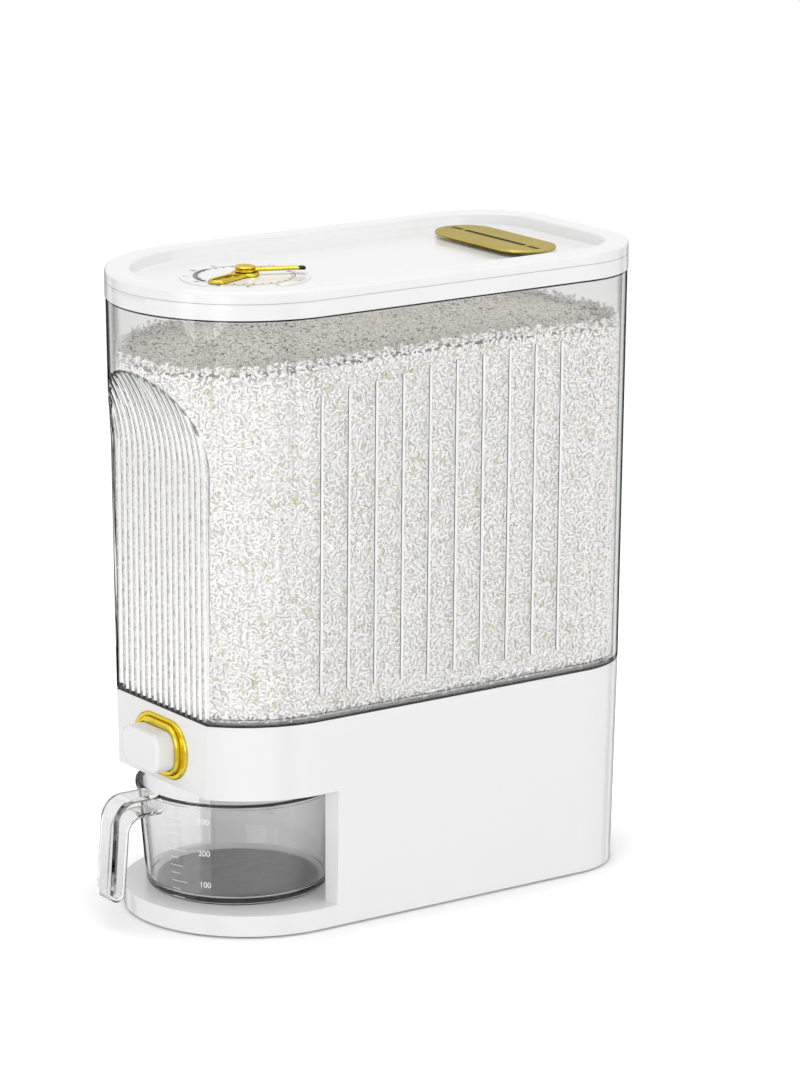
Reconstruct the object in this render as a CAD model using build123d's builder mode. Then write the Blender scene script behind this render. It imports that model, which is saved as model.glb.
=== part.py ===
from build123d import *

import os
from math import asin, cos, pi, radians, sin, sqrt

# A countertop rice dispenser, filled with rice. A white housing carries a clear tank with a lift-off
# lid. A button on the flat front pushes a sprung gate open, and rice falls through it into a cup in
# an alcove below.
# Millimetres. X across, Y from front to back, Z up from the surface that the feet stand on.
# The origin is on that surface, under the middle of the whole object with its cup handle.

# ---- Driving dimensions: plan of the body, measured at the underside of the housing ----
body_width = 156.0
body_length = 324.5
back_corner_radius = 46.3
housing_lean = 3.4          # how far each side leans out from the underside up to the joint
tank_lean = 3.1             # how far it leans out further from the joint up to the collar
flat_setback = 14.75        # the flat front stands this far behind the tip of the round nose

# ---- Driving dimensions: heights, each counted from the level before it ----
foot_height = 1.5           # from the worktop to the underside of the housing
ledge_height = 13.0         # from there to the ledge that the cup stands on
alcove_opening = 73.5       # to the alcove's ceiling
works_height = 47.0         # to the joint under the tank: outlet, gate and hopper
tank_height = 249.3         # to the collar
collar_rise = 9.7           # to the parting line under the lid
lid_rise = 7.5              # to the lid's rim
panel_drop = 7.0            # the lid's centre panel lies this far below its rim

# ---- Driving dimensions: walls and clearances ----
housing_wall = 3.0
tank_wall = 3.0
slip = 0.3                  # gap between pieces that slide or drop into each other
running_gap = 0.05          # radial gap of a pin in its bore

# ---- Driving dimensions: alcove and outlet ----
alcove_depth = 76.5         # from the flat front to the alcove's back face
bay_gap = 6.0               # the round bay behind the cup is wider than its rim by this
ceiling_wall = 2.5
outlet_width = 34.0
outlet_length = 11.0
gate_travel = 12.0
gate_width = 40.0
gate_thickness = 2.0
gate_tail = 21.0            # gate plate behind the middle of the outlet
chute_wall = 3.0
spout_drop = 1.6

# ---- Driving dimensions: button ----
button_rise = 22.5          # middle of the button above the alcove's ceiling
button_width = 41.6
button_depth = 25.0
button_corner = 9.0
button_reach = 16.2         # the cap stands this far out of the flat front
cap_skirt = 2.5             # and reaches this far behind it
cap_wall = 2.0
cap_gap = 0.4
bezel_width = 60.0
bezel_depth = 37.4
bezel_plate = 1.6
bezel_ring_width = 47.0
bezel_ring_depth = 33.0
bezel_ring_corner = 13.6
bezel_ring_height = 4.2
guide_depth = 16.0
guide_wall = 2.0
guide_boss_depth = 5.0
guide_ear = 3.0
rod_radius = 4.5
spring_radius = 6.8         # middle of the wire
spring_wire = 1.0
spring_turns = 8

# ---- Driving dimensions: tank ----
gasket_thickness = 1.2
spigot_wall = 1.5
spigot_depth = 4.0
tank_foot = 3.0
arch_rise = 151.5           # the front recess is upright this far above the joint
arch_radius = 92.0          # and curves forward above it on this radius
arch_sweep = 60.0
recess_cut = 42.0
reed_count = 16
reed_pitch = 6.4
reed_depth = 1.0
rib_count = 11
rib_width = 2.4
rib_proud = 0.8
rib_foot_rise = 16.5        # the ribs' feet above the joint
rib_first_drop = 49.8       # the first rib ends this far below the collar
rib_last_drop = 34.8
first_rib_back = 57.5       # the first rib stands this far behind the nose tip
last_rib_front = 70.0       # and the last one this far in front of the back

# ---- Driving dimensions: hopper ----
hopper_wall = 2.4
hopper_rim = 4.0            # height of the upright rim
rim_ring_wall = 3.0
rest_drop = 5.0             # the hopper's rim stands this far below the joint
rest_thickness = 3.0
rest_width = 3.5
hopper_shelf_drop = 5.0     # fall of the front shelf over the button
throat_height = 4.0

# ---- Driving dimensions: rice ----
rice_clear = 0.5            # the fill stands this far inside the walls around it
rice_middle_drop = 29.8     # its heaped top below the collar, in the middle of the tank
rice_front_drop = 35.8
rice_back_drop = 33.8

# ---- Driving dimensions: collar, lid and seal ----
collar_overhang = 0.5
collar_wall = 2.5
collar_floor = 2.2
collar_opening = 14.0       # from the collar's outside to its opening
collar_spigot = 2.0
scoop_width = 38.0          # thumb scoop under the lid at the nose
scoop_height = 5.0
scoop_depth = 1.3
lid_wall = 2.4
lid_edge = 2.5
rim_width = 15.0
panel_slope = 2.0
seal_width = 2.4
seal_height = 2.5
seal_rise = 0.8             # the seal's lower edge above the skirt's
skirt_wall = 2.0
skirt_depth = 6.3

# ---- Driving dimensions: grip and dial on the lid ----
grip_setback = 60.0         # middle of the grip in front of the back of the body
grip_width = 101.0
grip_length = 39.2
grip_plate = 1.6
grip_lift = 2.8             # the plate's underside above the panel
grip_groove_width = 63.0
grip_groove_length = 3.4
grip_groove_depth = 1.1
grip_inlay_sunk = 0.4       # the dark inlay lies this far below the plate's top
knurl_count = 8
knurl_pitch = 1.9
stem_top = (44.0, 26.0)
stem_foot = (36.0, 18.0)
grip_screw_x = 8.0
dial_radius = 40.0
dial_thickness = 0.8
dial_step = 8.0
hand_reach = 34.8
hand_gap = 0.3
hand_thickness = 2.0
day_hand_width = 11.0
day_hub_radius = 8.5
month_hand_width = 4.2
month_hub_radius = 6.0
hand_tip_radius = 2.5
pin_radius = 2.5
hub_radius = 6.4
hub_thickness = 1.1
day_hand_turned = -67.6     # as photographed, from +X towards +Y
month_hand_turned = 66.9

# ---- Driving dimensions: cup ----
cup_setback = 8.4           # the cup's axis in front of the middle of the round nose
cup_headroom = 7.0          # between the cup's rim and the alcove's ceiling
cup_side_gap = 15.2         # the rim stands this far inside the body's sides
cup_taper = 6.0             # the foot is narrower than the rim by this
cup_corner = 4.5
cup_wall = 2.4
cup_floor = 4.6
cup_floor_corner = 3.0
cup_foot_ring = 1.6         # width of the ring that the cup stands on
cup_foot_hollow = 1.0       # the floor's underside lies this far above the ring's
pad_thickness = 0.8         # of the non-slip pad stuck in there
cup_bead = 1.0
cup_bead_height = 3.2
handle_stand = 34.7         # the handle's foremost point in front of the rim
handle_width = 20.0
handle_wall = 2.8
handle_edge = 2.4           # bevel along the handle's edges
handle_rise = 1.7           # the arm's top above the rim
handle_foot = 9.5           # the middle of the leg's round end above the ledge
handle_arm = 13.4
handle_leg = 10.8
handle_bend = 14.5
handle_inner_bend = 9.6
handle_lean = 3.2           # the leg's foot stands this far out of its top

# ---- Driving dimensions: underside and fasteners ----
cover_thickness = 2.0
cover_recess = 1.0            # the cover lies this far up inside the housing's edge
foot_radius = 8.0
foot_inset = 26.0           # the feet's middles inside the body's sides and behind the front
boss_row_front = 4.0        # the first row of bosses behind the middle of the nose
boss_row_middle = 40.0
foot_seat = 0.6
screw_radius = 1.5
screw_head_radius = 3.0
screw_head = 1.6
boss_radius = 4.0
boss_height = 8.0

# ---- Places worked out from the dimensions ----
lid_grow = housing_lean + tank_lean + collar_overhang
nose_to_middle = body_length / 2 - body_width / 2
cup_rim_radius = body_width / 2 - cup_side_gap
cup_foot_radius = cup_rim_radius - cup_taper
handle_reach = cup_rim_radius + handle_stand
alcove_radius = cup_rim_radius + bay_gap
front_reach = nose_to_middle + cup_setback + handle_reach
back_reach = body_length / 2 + lid_grow
body_y = (front_reach - back_reach) / 2
nose_y = body_y - nose_to_middle
flat_y = body_y - body_length / 2 + flat_setback
alcove_back_y = flat_y + alcove_depth
cup_y = nose_y - cup_setback
outlet_y = cup_y
grip_y = body_y + body_length / 2 - grip_setback

base_z = foot_height
ledge_z = base_z + ledge_height
alcove_top_z = ledge_z + alcove_opening
ceiling_z = alcove_top_z + ceiling_wall
joint_z = alcove_top_z + works_height
collar_z = joint_z + tank_height
parting_z = collar_z + collar_rise
rim_z = parting_z + lid_rise
panel_z = rim_z - panel_drop
button_z = alcove_top_z + button_rise
arch_z = joint_z + arch_rise
housing_top_z = joint_z - gasket_thickness / 2
tank_bottom_z = joint_z + gasket_thickness / 2
rest_z = joint_z - rest_drop
far = body_length + body_width  # longer than any cut needs


def lean(height):
    """How far the body's side has leaned out at this height."""
    if height <= joint_z:
        return housing_lean * (height - base_z) / (joint_z - base_z)
    return housing_lean + tank_lean * (height - joint_z) / (collar_z - joint_z)


def plan(height, grow):
    """The body's plan: round nose, straight sides, rounded back corners. Grown by grow."""
    half = body_width / 2 + grow
    back = body_y + body_length / 2 + grow
    corner = back_corner_radius + grow
    with BuildSketch(Plane.XY.offset(height)) as outline:
        with BuildLine():
            Line((-half, back - corner), (-half, nose_y))
            CenterArc((0, nose_y), half, 180, 180)
            Line((half, nose_y), (half, back - corner))
            CenterArc((half - corner, back - corner), corner, 0, 90)
            Line((half - corner, back), (corner - half, back))
            CenterArc((corner - half, back - corner), corner, 90, 90)
        make_face()
    return outline.sketch


def body_block(bottom, top, inset=0.0):
    """A solid slice of the leaning body, drawn in by inset."""
    with BuildPart() as block:
        loft([plan(bottom, lean(bottom) - inset), plan(top, lean(top) - inset)], ruled=True)
    return block.part


def flat_block(bottom, top, inset=0.0):
    """The same slice with its nose cut off at the flat front."""
    with BuildPart() as block:
        add(body_block(bottom, top, inset))
        with Locations((0, flat_y + inset, (bottom + top) / 2)):
            Box(far, far, far, align=(Align.CENTER, Align.MAX, Align.CENTER), mode=Mode.SUBTRACT)
    return block.part


def straight_ring(bottom, top, outer_grow, inner_grow):
    """An upright ring that follows the body's plan."""
    with BuildPart() as ring:
        extrude(plan(bottom, outer_grow), amount=top - bottom)
        extrude(plan(bottom, inner_grow), amount=top - bottom, mode=Mode.SUBTRACT)
    return ring.part


def front_recess(inset=0.0, reeded=False):
    """What is cut off the tank's nose: upright below, curving forward above."""
    half = reed_count * reed_pitch / 2
    wide = body_width
    deep = flat_y - recess_cut
    face = flat_y + inset
    with BuildPart() as recess:
        with BuildSketch(Plane.XY.offset(arch_z), mode=Mode.PRIVATE) as profile:
            with BuildLine():
                if reeded:
                    valley = face + reed_depth
                    Line((-wide, face), (-half - reed_depth, face))
                    Line((-half - reed_depth, face), (-half, valley))
                    for reed in range(reed_count):
                        start = -half + reed * reed_pitch
                        middle = start + reed_pitch / 2
                        ThreePointArc((start, valley), (middle, face), (start + reed_pitch, valley))
                    Line((half, valley), (half + reed_depth, face))
                    Line((half + reed_depth, face), (wide, face))
                else:
                    Line((-wide, face), (wide, face))
                Line((wide, face), (wide, deep))
                Line((wide, deep), (-wide, deep))
                Line((-wide, deep), (-wide, face))
            make_face()
        extrude(profile.sketch, amount=-(arch_z - ledge_z))
        curve_axis = Axis((0, flat_y - arch_radius, arch_z), (1, 0, 0))
        revolve(profile.sketch, axis=curve_axis, revolution_arc=arch_sweep)
    return recess.part


def screw(head_bottom, length, place, up=True):
    """A pan-head screw at place, its shank pointing up or down from under its head."""
    side = 1 if up else -1
    with BuildPart() as one:
        with BuildSketch(Plane.XY.offset(head_bottom)):
            with Locations(place):
                Circle(screw_radius)
        extrude(amount=side * length)
        with BuildSketch(Plane.XY.offset(head_bottom)):
            with Locations(place):
                Circle(screw_head_radius)
        extrude(amount=-side * screw_head)
        chamfer(one.faces().sort_by(Axis.Z)[0 if up else -1].edges(), screw_head / 3)
    return one.part


# ---- Underside places shared by the cover, its screws, the bosses and the feet ----
side_boss_x = body_width / 2 - housing_wall - boss_radius - 0.6
back_corner_y = body_y + body_length / 2 - back_corner_radius
boss_rows = [nose_y + boss_row_front, body_y + boss_row_middle, back_corner_y]
cover_screws_at = [(side * side_boss_x, row) for row in boss_rows for side in (-1, 1)]
foot_x = body_width / 2 - foot_inset
foot_rows = (nose_y - foot_inset, back_corner_y + 6.0)
feet_at = [(side * foot_x, row) for row in foot_rows for side in (-1, 1)]
cover_bottom_z = base_z + cover_recess
cover_top_z = cover_bottom_z + cover_thickness

# ---- Outlet places shared by the housing, the chute, the gate and the hopper ----
slot_z = ceiling_z + chute_wall - 0.6
slot_top_z = slot_z + gate_thickness + 2 * slip
chute_top_z = slot_top_z + chute_wall
chute_width = gate_width + 14.0
chute_front_y = outlet_y - outlet_length / 2 - chute_wall
chute_back_y = outlet_y + outlet_length / 2 + 12.0
chute_screws_x = chute_width / 2 - boss_radius + 0.5
chute_screws_y = (chute_front_y + boss_radius, chute_back_y - boss_radius)
chute_screws_at = [(side * chute_screws_x, row) for row in chute_screws_y for side in (-1, 1)]
spout_width = outlet_width + 2 * hopper_wall
spout_length = outlet_length + 2 * hopper_wall

# ---- Button places, counted along Y ----
cap_front_y = flat_y - button_reach
cap_back_y = flat_y + cap_skirt
flat_inner_y = flat_y + housing_wall
guide_back_y = flat_inner_y + guide_depth
button_opening = (button_width + 2 * cap_gap, button_depth + 2 * cap_gap, button_corner + cap_gap)
guide_ear_x = button_opening[0] / 2 + guide_wall + boss_radius + slip
guide_boss_y = flat_inner_y + guide_boss_depth


def front_offset(y):
    """The plane through the button's middle, parallel to the flat front, at this Y."""
    return Plane(origin=(0, y, button_z), x_dir=(1, 0, 0), z_dir=(0, -1, 0))


# ======== Housing: white moulded shell with the alcove, the ledge and the flat front ========
with BuildPart() as alcove:
    with BuildSketch(Plane.XY.offset(ledge_z)):
        with Locations((0, alcove_back_y)):
            Rectangle(far, far, align=(Align.CENTER, Align.MAX))
        with Locations((0, cup_y)):
            Circle(alcove_radius)
    extrude(amount=alcove_top_z - ledge_z)

with BuildPart() as alcove_shell:
    with BuildSketch(Plane.XY.offset(ledge_z - ceiling_wall)):
        with Locations((0, alcove_back_y + ceiling_wall)):
            Rectangle(far, far, align=(Align.CENTER, Align.MAX))
        with Locations((0, cup_y)):
            Circle(alcove_radius + ceiling_wall)
    extrude(amount=alcove_top_z - ledge_z + 2 * ceiling_wall)

with BuildPart() as housing_cavity:
    add(flat_block(ledge_z, joint_z + 1, housing_wall))
    add(body_block(base_z - 1, ledge_z, housing_wall))
    add(alcove_shell.part, mode=Mode.SUBTRACT)
    # the ring under the joint that the hopper's rim stands on
    add(flat_block(rest_z - rest_thickness, rest_z), mode=Mode.SUBTRACT)
    add(flat_block(rest_z - rest_thickness - 1, rest_z + 1, housing_wall + rest_width))

with BuildPart() as housing:
    add(body_block(base_z, housing_top_z))
    with Locations((0, flat_y, ledge_z)):
        Box(far, far, far, align=(Align.CENTER, Align.MAX, Align.MIN), mode=Mode.SUBTRACT)
    add(alcove.part, mode=Mode.SUBTRACT)
    add(housing_cavity.part, mode=Mode.SUBTRACT)
    # bosses for the cover's screws, standing against the walls
    with BuildSketch(Plane.XY.offset(cover_top_z)):
        with Locations(*cover_screws_at):
            Circle(boss_radius)
        for x, row in cover_screws_at:
            with Locations((x * (1 + boss_radius / side_boss_x / 2), row)):
                Rectangle(boss_radius + 2, boss_radius)
    extrude(amount=boss_height)
    with BuildSketch(Plane.XY.offset(cover_top_z)):
        with Locations(*cover_screws_at):
            Circle(screw_radius)
    extrude(amount=boss_height - 1.5, mode=Mode.SUBTRACT)
    # opening for the button cap, and two bosses for its guide behind the flat wall
    with BuildSketch(front_offset(flat_inner_y)):
        with Locations((-guide_ear_x, 0), (guide_ear_x, 0)):
            Circle(boss_radius)
    extrude(amount=-(guide_boss_y - flat_inner_y))
    with BuildSketch(front_offset(flat_inner_y)):
        with Locations((-guide_ear_x, 0), (guide_ear_x, 0)):
            Circle(screw_radius)
    extrude(amount=-(guide_boss_y - flat_inner_y), mode=Mode.SUBTRACT)
    with BuildSketch(front_offset(flat_y - 1)):
        RectangleRounded(*button_opening)
    extrude(amount=-(housing_wall + 2), mode=Mode.SUBTRACT)
    # outlet hole in the ceiling, and the chute's screw holes with their counterbores
    with BuildSketch(Plane.XY.offset(alcove_top_z - 1)):
        with Locations((0, outlet_y)):
            Rectangle(spout_width + 2 * slip, spout_length + 2 * slip)
        with Locations(*chute_screws_at):
            Circle(screw_radius + slip)
    extrude(amount=ceiling_wall + 2, mode=Mode.SUBTRACT)
    with BuildSketch(Plane.XY.offset(alcove_top_z)):
        with Locations(*chute_screws_at):
            Circle(screw_head_radius + slip)
    extrude(amount=screw_head, both=True, mode=Mode.SUBTRACT)
housing.part.label = "housing"

# ======== Bottom cover, its screws and the rubber feet ========
with BuildPart() as bottom_cover:
    add(body_block(cover_bottom_z, cover_top_z, housing_wall + slip))
    with BuildSketch(Plane.XY.offset(cover_bottom_z)):
        with Locations(*cover_screws_at):
            Circle(screw_radius + slip)
    extrude(amount=cover_thickness, mode=Mode.SUBTRACT)
    with BuildSketch(Plane.XY.offset(cover_bottom_z)):
        with Locations(*feet_at):
            Circle(foot_radius + 0.2)
    extrude(amount=foot_seat, mode=Mode.SUBTRACT)
bottom_cover.part.label = "bottom_cover"

with BuildPart() as cover_screws:
    for place in cover_screws_at:
        add(screw(cover_bottom_z, boss_height + cover_thickness - 2, place))
cover_screws.part.label = "cover_screws"

with BuildPart() as rubber_feet:
    with BuildSketch(Plane.XY):
        with Locations(*feet_at):
            Circle(foot_radius)
    extrude(amount=cover_bottom_z + foot_seat)
    chamfer(rubber_feet.faces().group_by(Axis.Z)[0].edges(), 0.4)
rubber_feet.part.label = "rubber_feet"

# ======== Outlet chute: guides the gate, and its spout reaches through the ceiling ========
with BuildPart() as outlet_chute:
    with BuildSketch(Plane.XY.offset(ceiling_z)):
        with Locations((0, (chute_front_y + chute_back_y) / 2)):
            Rectangle(chute_width, chute_back_y - chute_front_y)
    extrude(amount=chute_top_z - ceiling_z)
    fillet(outlet_chute.edges().filter_by(Axis.Z), 3)
    with BuildSketch(Plane.XY.offset(alcove_top_z - spout_drop)):
        with Locations((0, outlet_y)):
            Rectangle(spout_width, spout_length)
    extrude(amount=ceiling_z - alcove_top_z + spout_drop)
    with BuildSketch(Plane.XY.offset(alcove_top_z - spout_drop)):
        with Locations((0, outlet_y)):
            Rectangle(outlet_width, outlet_length)
    extrude(amount=chute_top_z - alcove_top_z + spout_drop, mode=Mode.SUBTRACT)
    with BuildSketch(Plane.XY.offset(slot_z)):
        with Locations((0, outlet_y)):
            Rectangle(gate_width + 2 * slip, far)
    extrude(amount=slot_top_z - slot_z, mode=Mode.SUBTRACT)
    with BuildSketch(Plane.XY.offset(ceiling_z)):
        with Locations(*chute_screws_at):
            Circle(screw_radius)
    extrude(amount=chute_top_z - ceiling_z, mode=Mode.SUBTRACT)
outlet_chute.part.label = "outlet_chute"

with BuildPart() as chute_screws:
    for place in chute_screws_at:
        add(screw(alcove_top_z + screw_head, chute_top_z - alcove_top_z - screw_head - 0.5, place))
chute_screws.part.label = "chute_screws"

# ======== Hopper: slopes the rice to the outlet, over the button's works at the front ========
hopper_top_z = rest_z + hopper_rim
hopper_ramp_z = rest_z
hopper_inset = housing_wall + slip + spigot_wall + slip
throat_z = chute_top_z + throat_height
throat_front_y = outlet_y - outlet_length / 2
throat_back_y = outlet_y + outlet_length / 2
ramp_front_y = flat_y + hopper_inset + rim_ring_wall
ramp_back_y = body_y + body_length / 2 + housing_lean - hopper_inset - rim_ring_wall
ramp_side_x = body_width / 2 + housing_lean - hopper_inset - rim_ring_wall
shelf_z = hopper_ramp_z - hopper_shelf_drop


def hopper_space(thickness, top):
    """The funnel's inside, or its outside when grown by a wall thickness."""
    low = chute_top_z
    drop = thickness * 1.08
    front = throat_front_y - thickness
    back = throat_back_y + thickness
    side = outlet_width / 2 + thickness
    with BuildPart() as space:
        with BuildSketch(Plane.YZ):
            with BuildLine():
                Polyline(
                    (front, low),
                    (front, shelf_z - drop),
                    (ramp_front_y, hopper_ramp_z - drop),
                    (ramp_front_y - 20, hopper_ramp_z - drop),
                    (ramp_front_y - 20, top),
                    (ramp_back_y + 20, top),
                    (ramp_back_y + 20, hopper_ramp_z - drop),
                    (ramp_back_y, hopper_ramp_z - drop),
                    (back, throat_z - drop),
                    (back, low),
                    close=True,
                )
            make_face()
        extrude(amount=body_width, both=True)
        with BuildSketch(Plane.XZ.offset(-body_y)):
            with BuildLine():
                Polyline(
                    (-side, low),
                    (-side, throat_z - drop),
                    (-ramp_side_x, hopper_ramp_z - drop),
                    (-ramp_side_x - 20, hopper_ramp_z - drop),
                    (-ramp_side_x - 20, top),
                    (ramp_side_x + 20, top),
                    (ramp_side_x + 20, hopper_ramp_z - drop),
                    (ramp_side_x, hopper_ramp_z - drop),
                    (side, throat_z - drop),
                    (side, low),
                    close=True,
                )
            make_face()
        extrude(amount=body_length, both=True, mode=Mode.INTERSECT)
    return space.part


with BuildPart() as hopper_funnel:
    add(hopper_space(hopper_wall, hopper_ramp_z + 1))
    funnel_inset = hopper_inset + rim_ring_wall - 1
    add(flat_block(chute_top_z - 1, hopper_ramp_z + 1, funnel_inset), mode=Mode.INTERSECT)

with BuildPart() as hopper_inside:
    add(hopper_space(0, hopper_top_z + 1))
    add(flat_block(chute_top_z - 1, hopper_top_z + 1, hopper_inset + rim_ring_wall), mode=Mode.INTERSECT)

with BuildPart() as hopper:
    add(flat_block(hopper_ramp_z, hopper_top_z, hopper_inset))
    add(hopper_funnel.part)
    add(hopper_inside.part, mode=Mode.SUBTRACT)
hopper.part.label = "hopper"

# ======== Gate, push rod, button cap, guide, spring and bezel ========
gate_z = slot_z + slip
gate_top_z = gate_z + gate_thickness
upright_y = guide_back_y + 1.5
upright_thickness = 3.5
foot_back_y = chute_front_y - gate_travel - 1.5
rod_foot_width = 18.0
gate_screws_at = [(-5.0, foot_back_y - 4.5), (5.0, foot_back_y - 4.5)]
gate_screw_radius = 1.0

with BuildPart() as gate_slide:
    with BuildSketch(Plane.XY.offset(gate_z)):
        with Locations((0, (upright_y + outlet_y + gate_tail) / 2)):
            RectangleRounded(gate_width, outlet_y + gate_tail - upright_y, 3)
        with Locations((0, outlet_y - gate_travel)):
            Rectangle(outlet_width - 2, outlet_length, mode=Mode.SUBTRACT)
        with Locations(*gate_screws_at):
            Circle(gate_screw_radius, mode=Mode.SUBTRACT)
    extrude(amount=gate_thickness)
gate_slide.part.label = "gate_slide"

with BuildPart() as push_rod:
    with BuildSketch(front_offset(upright_y + upright_thickness)):
        Circle(rod_radius)
    extrude(amount=upright_y + upright_thickness - cap_front_y - cap_wall)
    with BuildSketch(front_offset(upright_y)):
        with Locations((0, (gate_top_z - button_z + rod_radius + 1.5) / 2)):
            Rectangle(rod_foot_width, button_z - gate_top_z + rod_radius + 1.5)
    extrude(amount=-upright_thickness)
    with BuildSketch(Plane.XY.offset(gate_top_z)):
        with Locations((0, (upright_y + foot_back_y) / 2)):
            Rectangle(rod_foot_width, foot_back_y - upright_y)
    extrude(amount=2.6)
    with BuildSketch(Plane.XY.offset(gate_top_z)):
        with Locations(*gate_screws_at):
            Circle(gate_screw_radius)
    extrude(amount=2.6, mode=Mode.SUBTRACT)
push_rod.part.label = "push_rod"

with BuildPart() as gate_screws:
    for place in gate_screws_at:
        with BuildSketch(Plane.XY.offset(gate_z + 0.2)):
            with Locations(place):
                Circle(gate_screw_radius)
        extrude(amount=gate_thickness + 2.4)
        with BuildSketch(Plane.XY.offset(gate_top_z + 2.6)):
            with Locations(place):
                Circle(2 * gate_screw_radius)
        extrude(amount=gate_screw_radius)
gate_screws.part.label = "gate_screws"

cap_socket_radius = rod_radius + 1.3
with BuildPart() as button_cap:
    with BuildSketch(front_offset(cap_back_y)):
        RectangleRounded(button_width, button_depth, button_corner)
    extrude(amount=cap_back_y - cap_front_y)
    fillet(button_cap.faces().sort_by(Axis.Y)[0].edges(), 2.6)
    with BuildSketch(front_offset(cap_back_y)):
        RectangleRounded(button_width - 2 * cap_wall, button_depth - 2 * cap_wall, button_corner - cap_wall)
    extrude(amount=cap_back_y - cap_front_y - cap_wall, mode=Mode.SUBTRACT)
    with BuildSketch(front_offset(cap_front_y + cap_wall)):
        Circle(cap_socket_radius)
    extrude(amount=-5)
    with BuildSketch(front_offset(cap_front_y + cap_wall)):
        Circle(rod_radius)
    extrude(amount=-5, mode=Mode.SUBTRACT)
button_cap.part.label = "button_cap"

with BuildPart() as button_guide:
    with BuildSketch(front_offset(flat_inner_y)):
        RectangleRounded(*button_opening)
        offset(amount=guide_wall)
    extrude(amount=-guide_depth)
    with BuildSketch(front_offset(flat_inner_y)):
        RectangleRounded(*button_opening)
    extrude(amount=-(guide_depth - guide_wall), mode=Mode.SUBTRACT)
    with BuildSketch(front_offset(guide_boss_y)):
        SlotOverall(2 * (guide_ear_x + boss_radius), 2 * boss_radius)
        RectangleRounded(*button_opening, mode=Mode.SUBTRACT)
    extrude(amount=-guide_ear)
    with BuildSketch(front_offset(guide_boss_y)):
        with Locations((-guide_ear_x, 0), (guide_ear_x, 0)):
            Circle(screw_radius + slip)
    extrude(amount=-guide_ear, mode=Mode.SUBTRACT)
    with BuildSketch(front_offset(guide_back_y)):
        Circle(rod_radius + running_gap)
    extrude(amount=guide_wall, mode=Mode.SUBTRACT)
button_guide.part.label = "button_guide"

with BuildPart() as guide_screws:
    for side in (-1, 1):
        with BuildSketch(front_offset(guide_boss_y + guide_ear)):
            with Locations((side * guide_ear_x, 0)):
                Circle(screw_radius)
        extrude(amount=guide_boss_depth + guide_ear - 0.5)
        with BuildSketch(front_offset(guide_boss_y + guide_ear)):
            with Locations((side * guide_ear_x, 0)):
                Circle(screw_head_radius)
        extrude(amount=-screw_head)
guide_screws.part.label = "guide_screws"

# The spring is one wire of biarcs: each quarter turn is two arcs that meet in one tangent.
spring_start_y = cap_front_y + cap_wall + spring_wire / 2 + 0.1
spring_end_y = guide_back_y - guide_wall - spring_wire / 2 - 0.1
spring_steps = 4 * spring_turns


def spring_point(step):
    """A point of the wire's centre line, four steps to a turn."""
    angle = step * pi / 2
    along = spring_start_y + (spring_end_y - spring_start_y) * step / spring_steps
    return Vector(spring_radius * cos(angle), along, button_z + spring_radius * sin(angle))


def spring_tangent(step):
    """The wire's direction there."""
    angle = step * pi / 2
    around = spring_radius * pi / 2
    along = (spring_end_y - spring_start_y) / spring_steps
    return Vector(-around * sin(angle), along, around * cos(angle)).normalized()


def biarc(start, start_direction, end, end_direction):
    """Two arcs from start to end that keep both directions."""
    chord = end - start
    total = start_direction + end_direction
    square = 2 * (1 - start_direction.dot(end_direction))
    reach = (sqrt(chord.dot(total) ** 2 + square * chord.dot(chord)) - chord.dot(total)) / square
    first = start + start_direction * reach
    second = end - end_direction * reach
    meeting = (first + second) / 2
    TangentArc(start, meeting, tangent=start_direction)
    TangentArc(meeting, end, tangent=(second - first).normalized())


with BuildPart() as button_spring:
    with BuildLine() as wire:
        for step in range(spring_steps):
            after = step + 1
            biarc(spring_point(step), spring_tangent(step), spring_point(after), spring_tangent(after))
    with BuildSketch(Plane(origin=spring_point(0), z_dir=spring_tangent(0))):
        Circle(spring_wire / 2)
    sweep(path=wire.line)
button_spring.part.label = "button_spring"

with BuildPart() as button_bezel:
    with BuildSketch(front_offset(flat_y)):
        SlotOverall(bezel_width, bezel_depth)
        RectangleRounded(*button_opening, mode=Mode.SUBTRACT)
    extrude(amount=bezel_plate)
    with BuildSketch(front_offset(flat_y)):
        RectangleRounded(bezel_ring_width, bezel_ring_depth, bezel_ring_corner)
        RectangleRounded(*button_opening, mode=Mode.SUBTRACT)
    extrude(amount=bezel_ring_height)
    fillet(button_bezel.faces().sort_by(Axis.Y)[0].outer_wire().edges(), 1.4)
    fillet(button_bezel.faces().filter_by(Axis.Y).sort_by(Axis.Y)[1].outer_wire().edges(), 1.0)
button_bezel.part.label = "button_bezel"

# ======== Tank, the dark gasket under it and the white collar on top ========
rib_slope = tank_lean / tank_height
rib_pitch = (body_length - first_rib_back - last_rib_front) / (rib_count - 1)
rib_foot_z = joint_z + rib_foot_rise
rib_root = 0.3

spigot_inset = tank_wall + slip
mouth_inset = spigot_inset + spigot_wall
spigot_z = joint_z - spigot_depth
tank_floor_z = tank_bottom_z + tank_foot
with BuildPart() as tank_cavity:
    add(body_block(tank_floor_z, collar_z + 1, tank_wall))
    add(body_block(spigot_z - 1, tank_floor_z + 1, mouth_inset))
    add(front_recess(tank_wall), mode=Mode.SUBTRACT)

with BuildPart() as spigot_block:
    add(flat_block(spigot_z, tank_bottom_z + 1, spigot_inset))

with BuildPart() as spigot_bore:
    add(flat_block(spigot_z - 1, tank_floor_z, mouth_inset))

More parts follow.
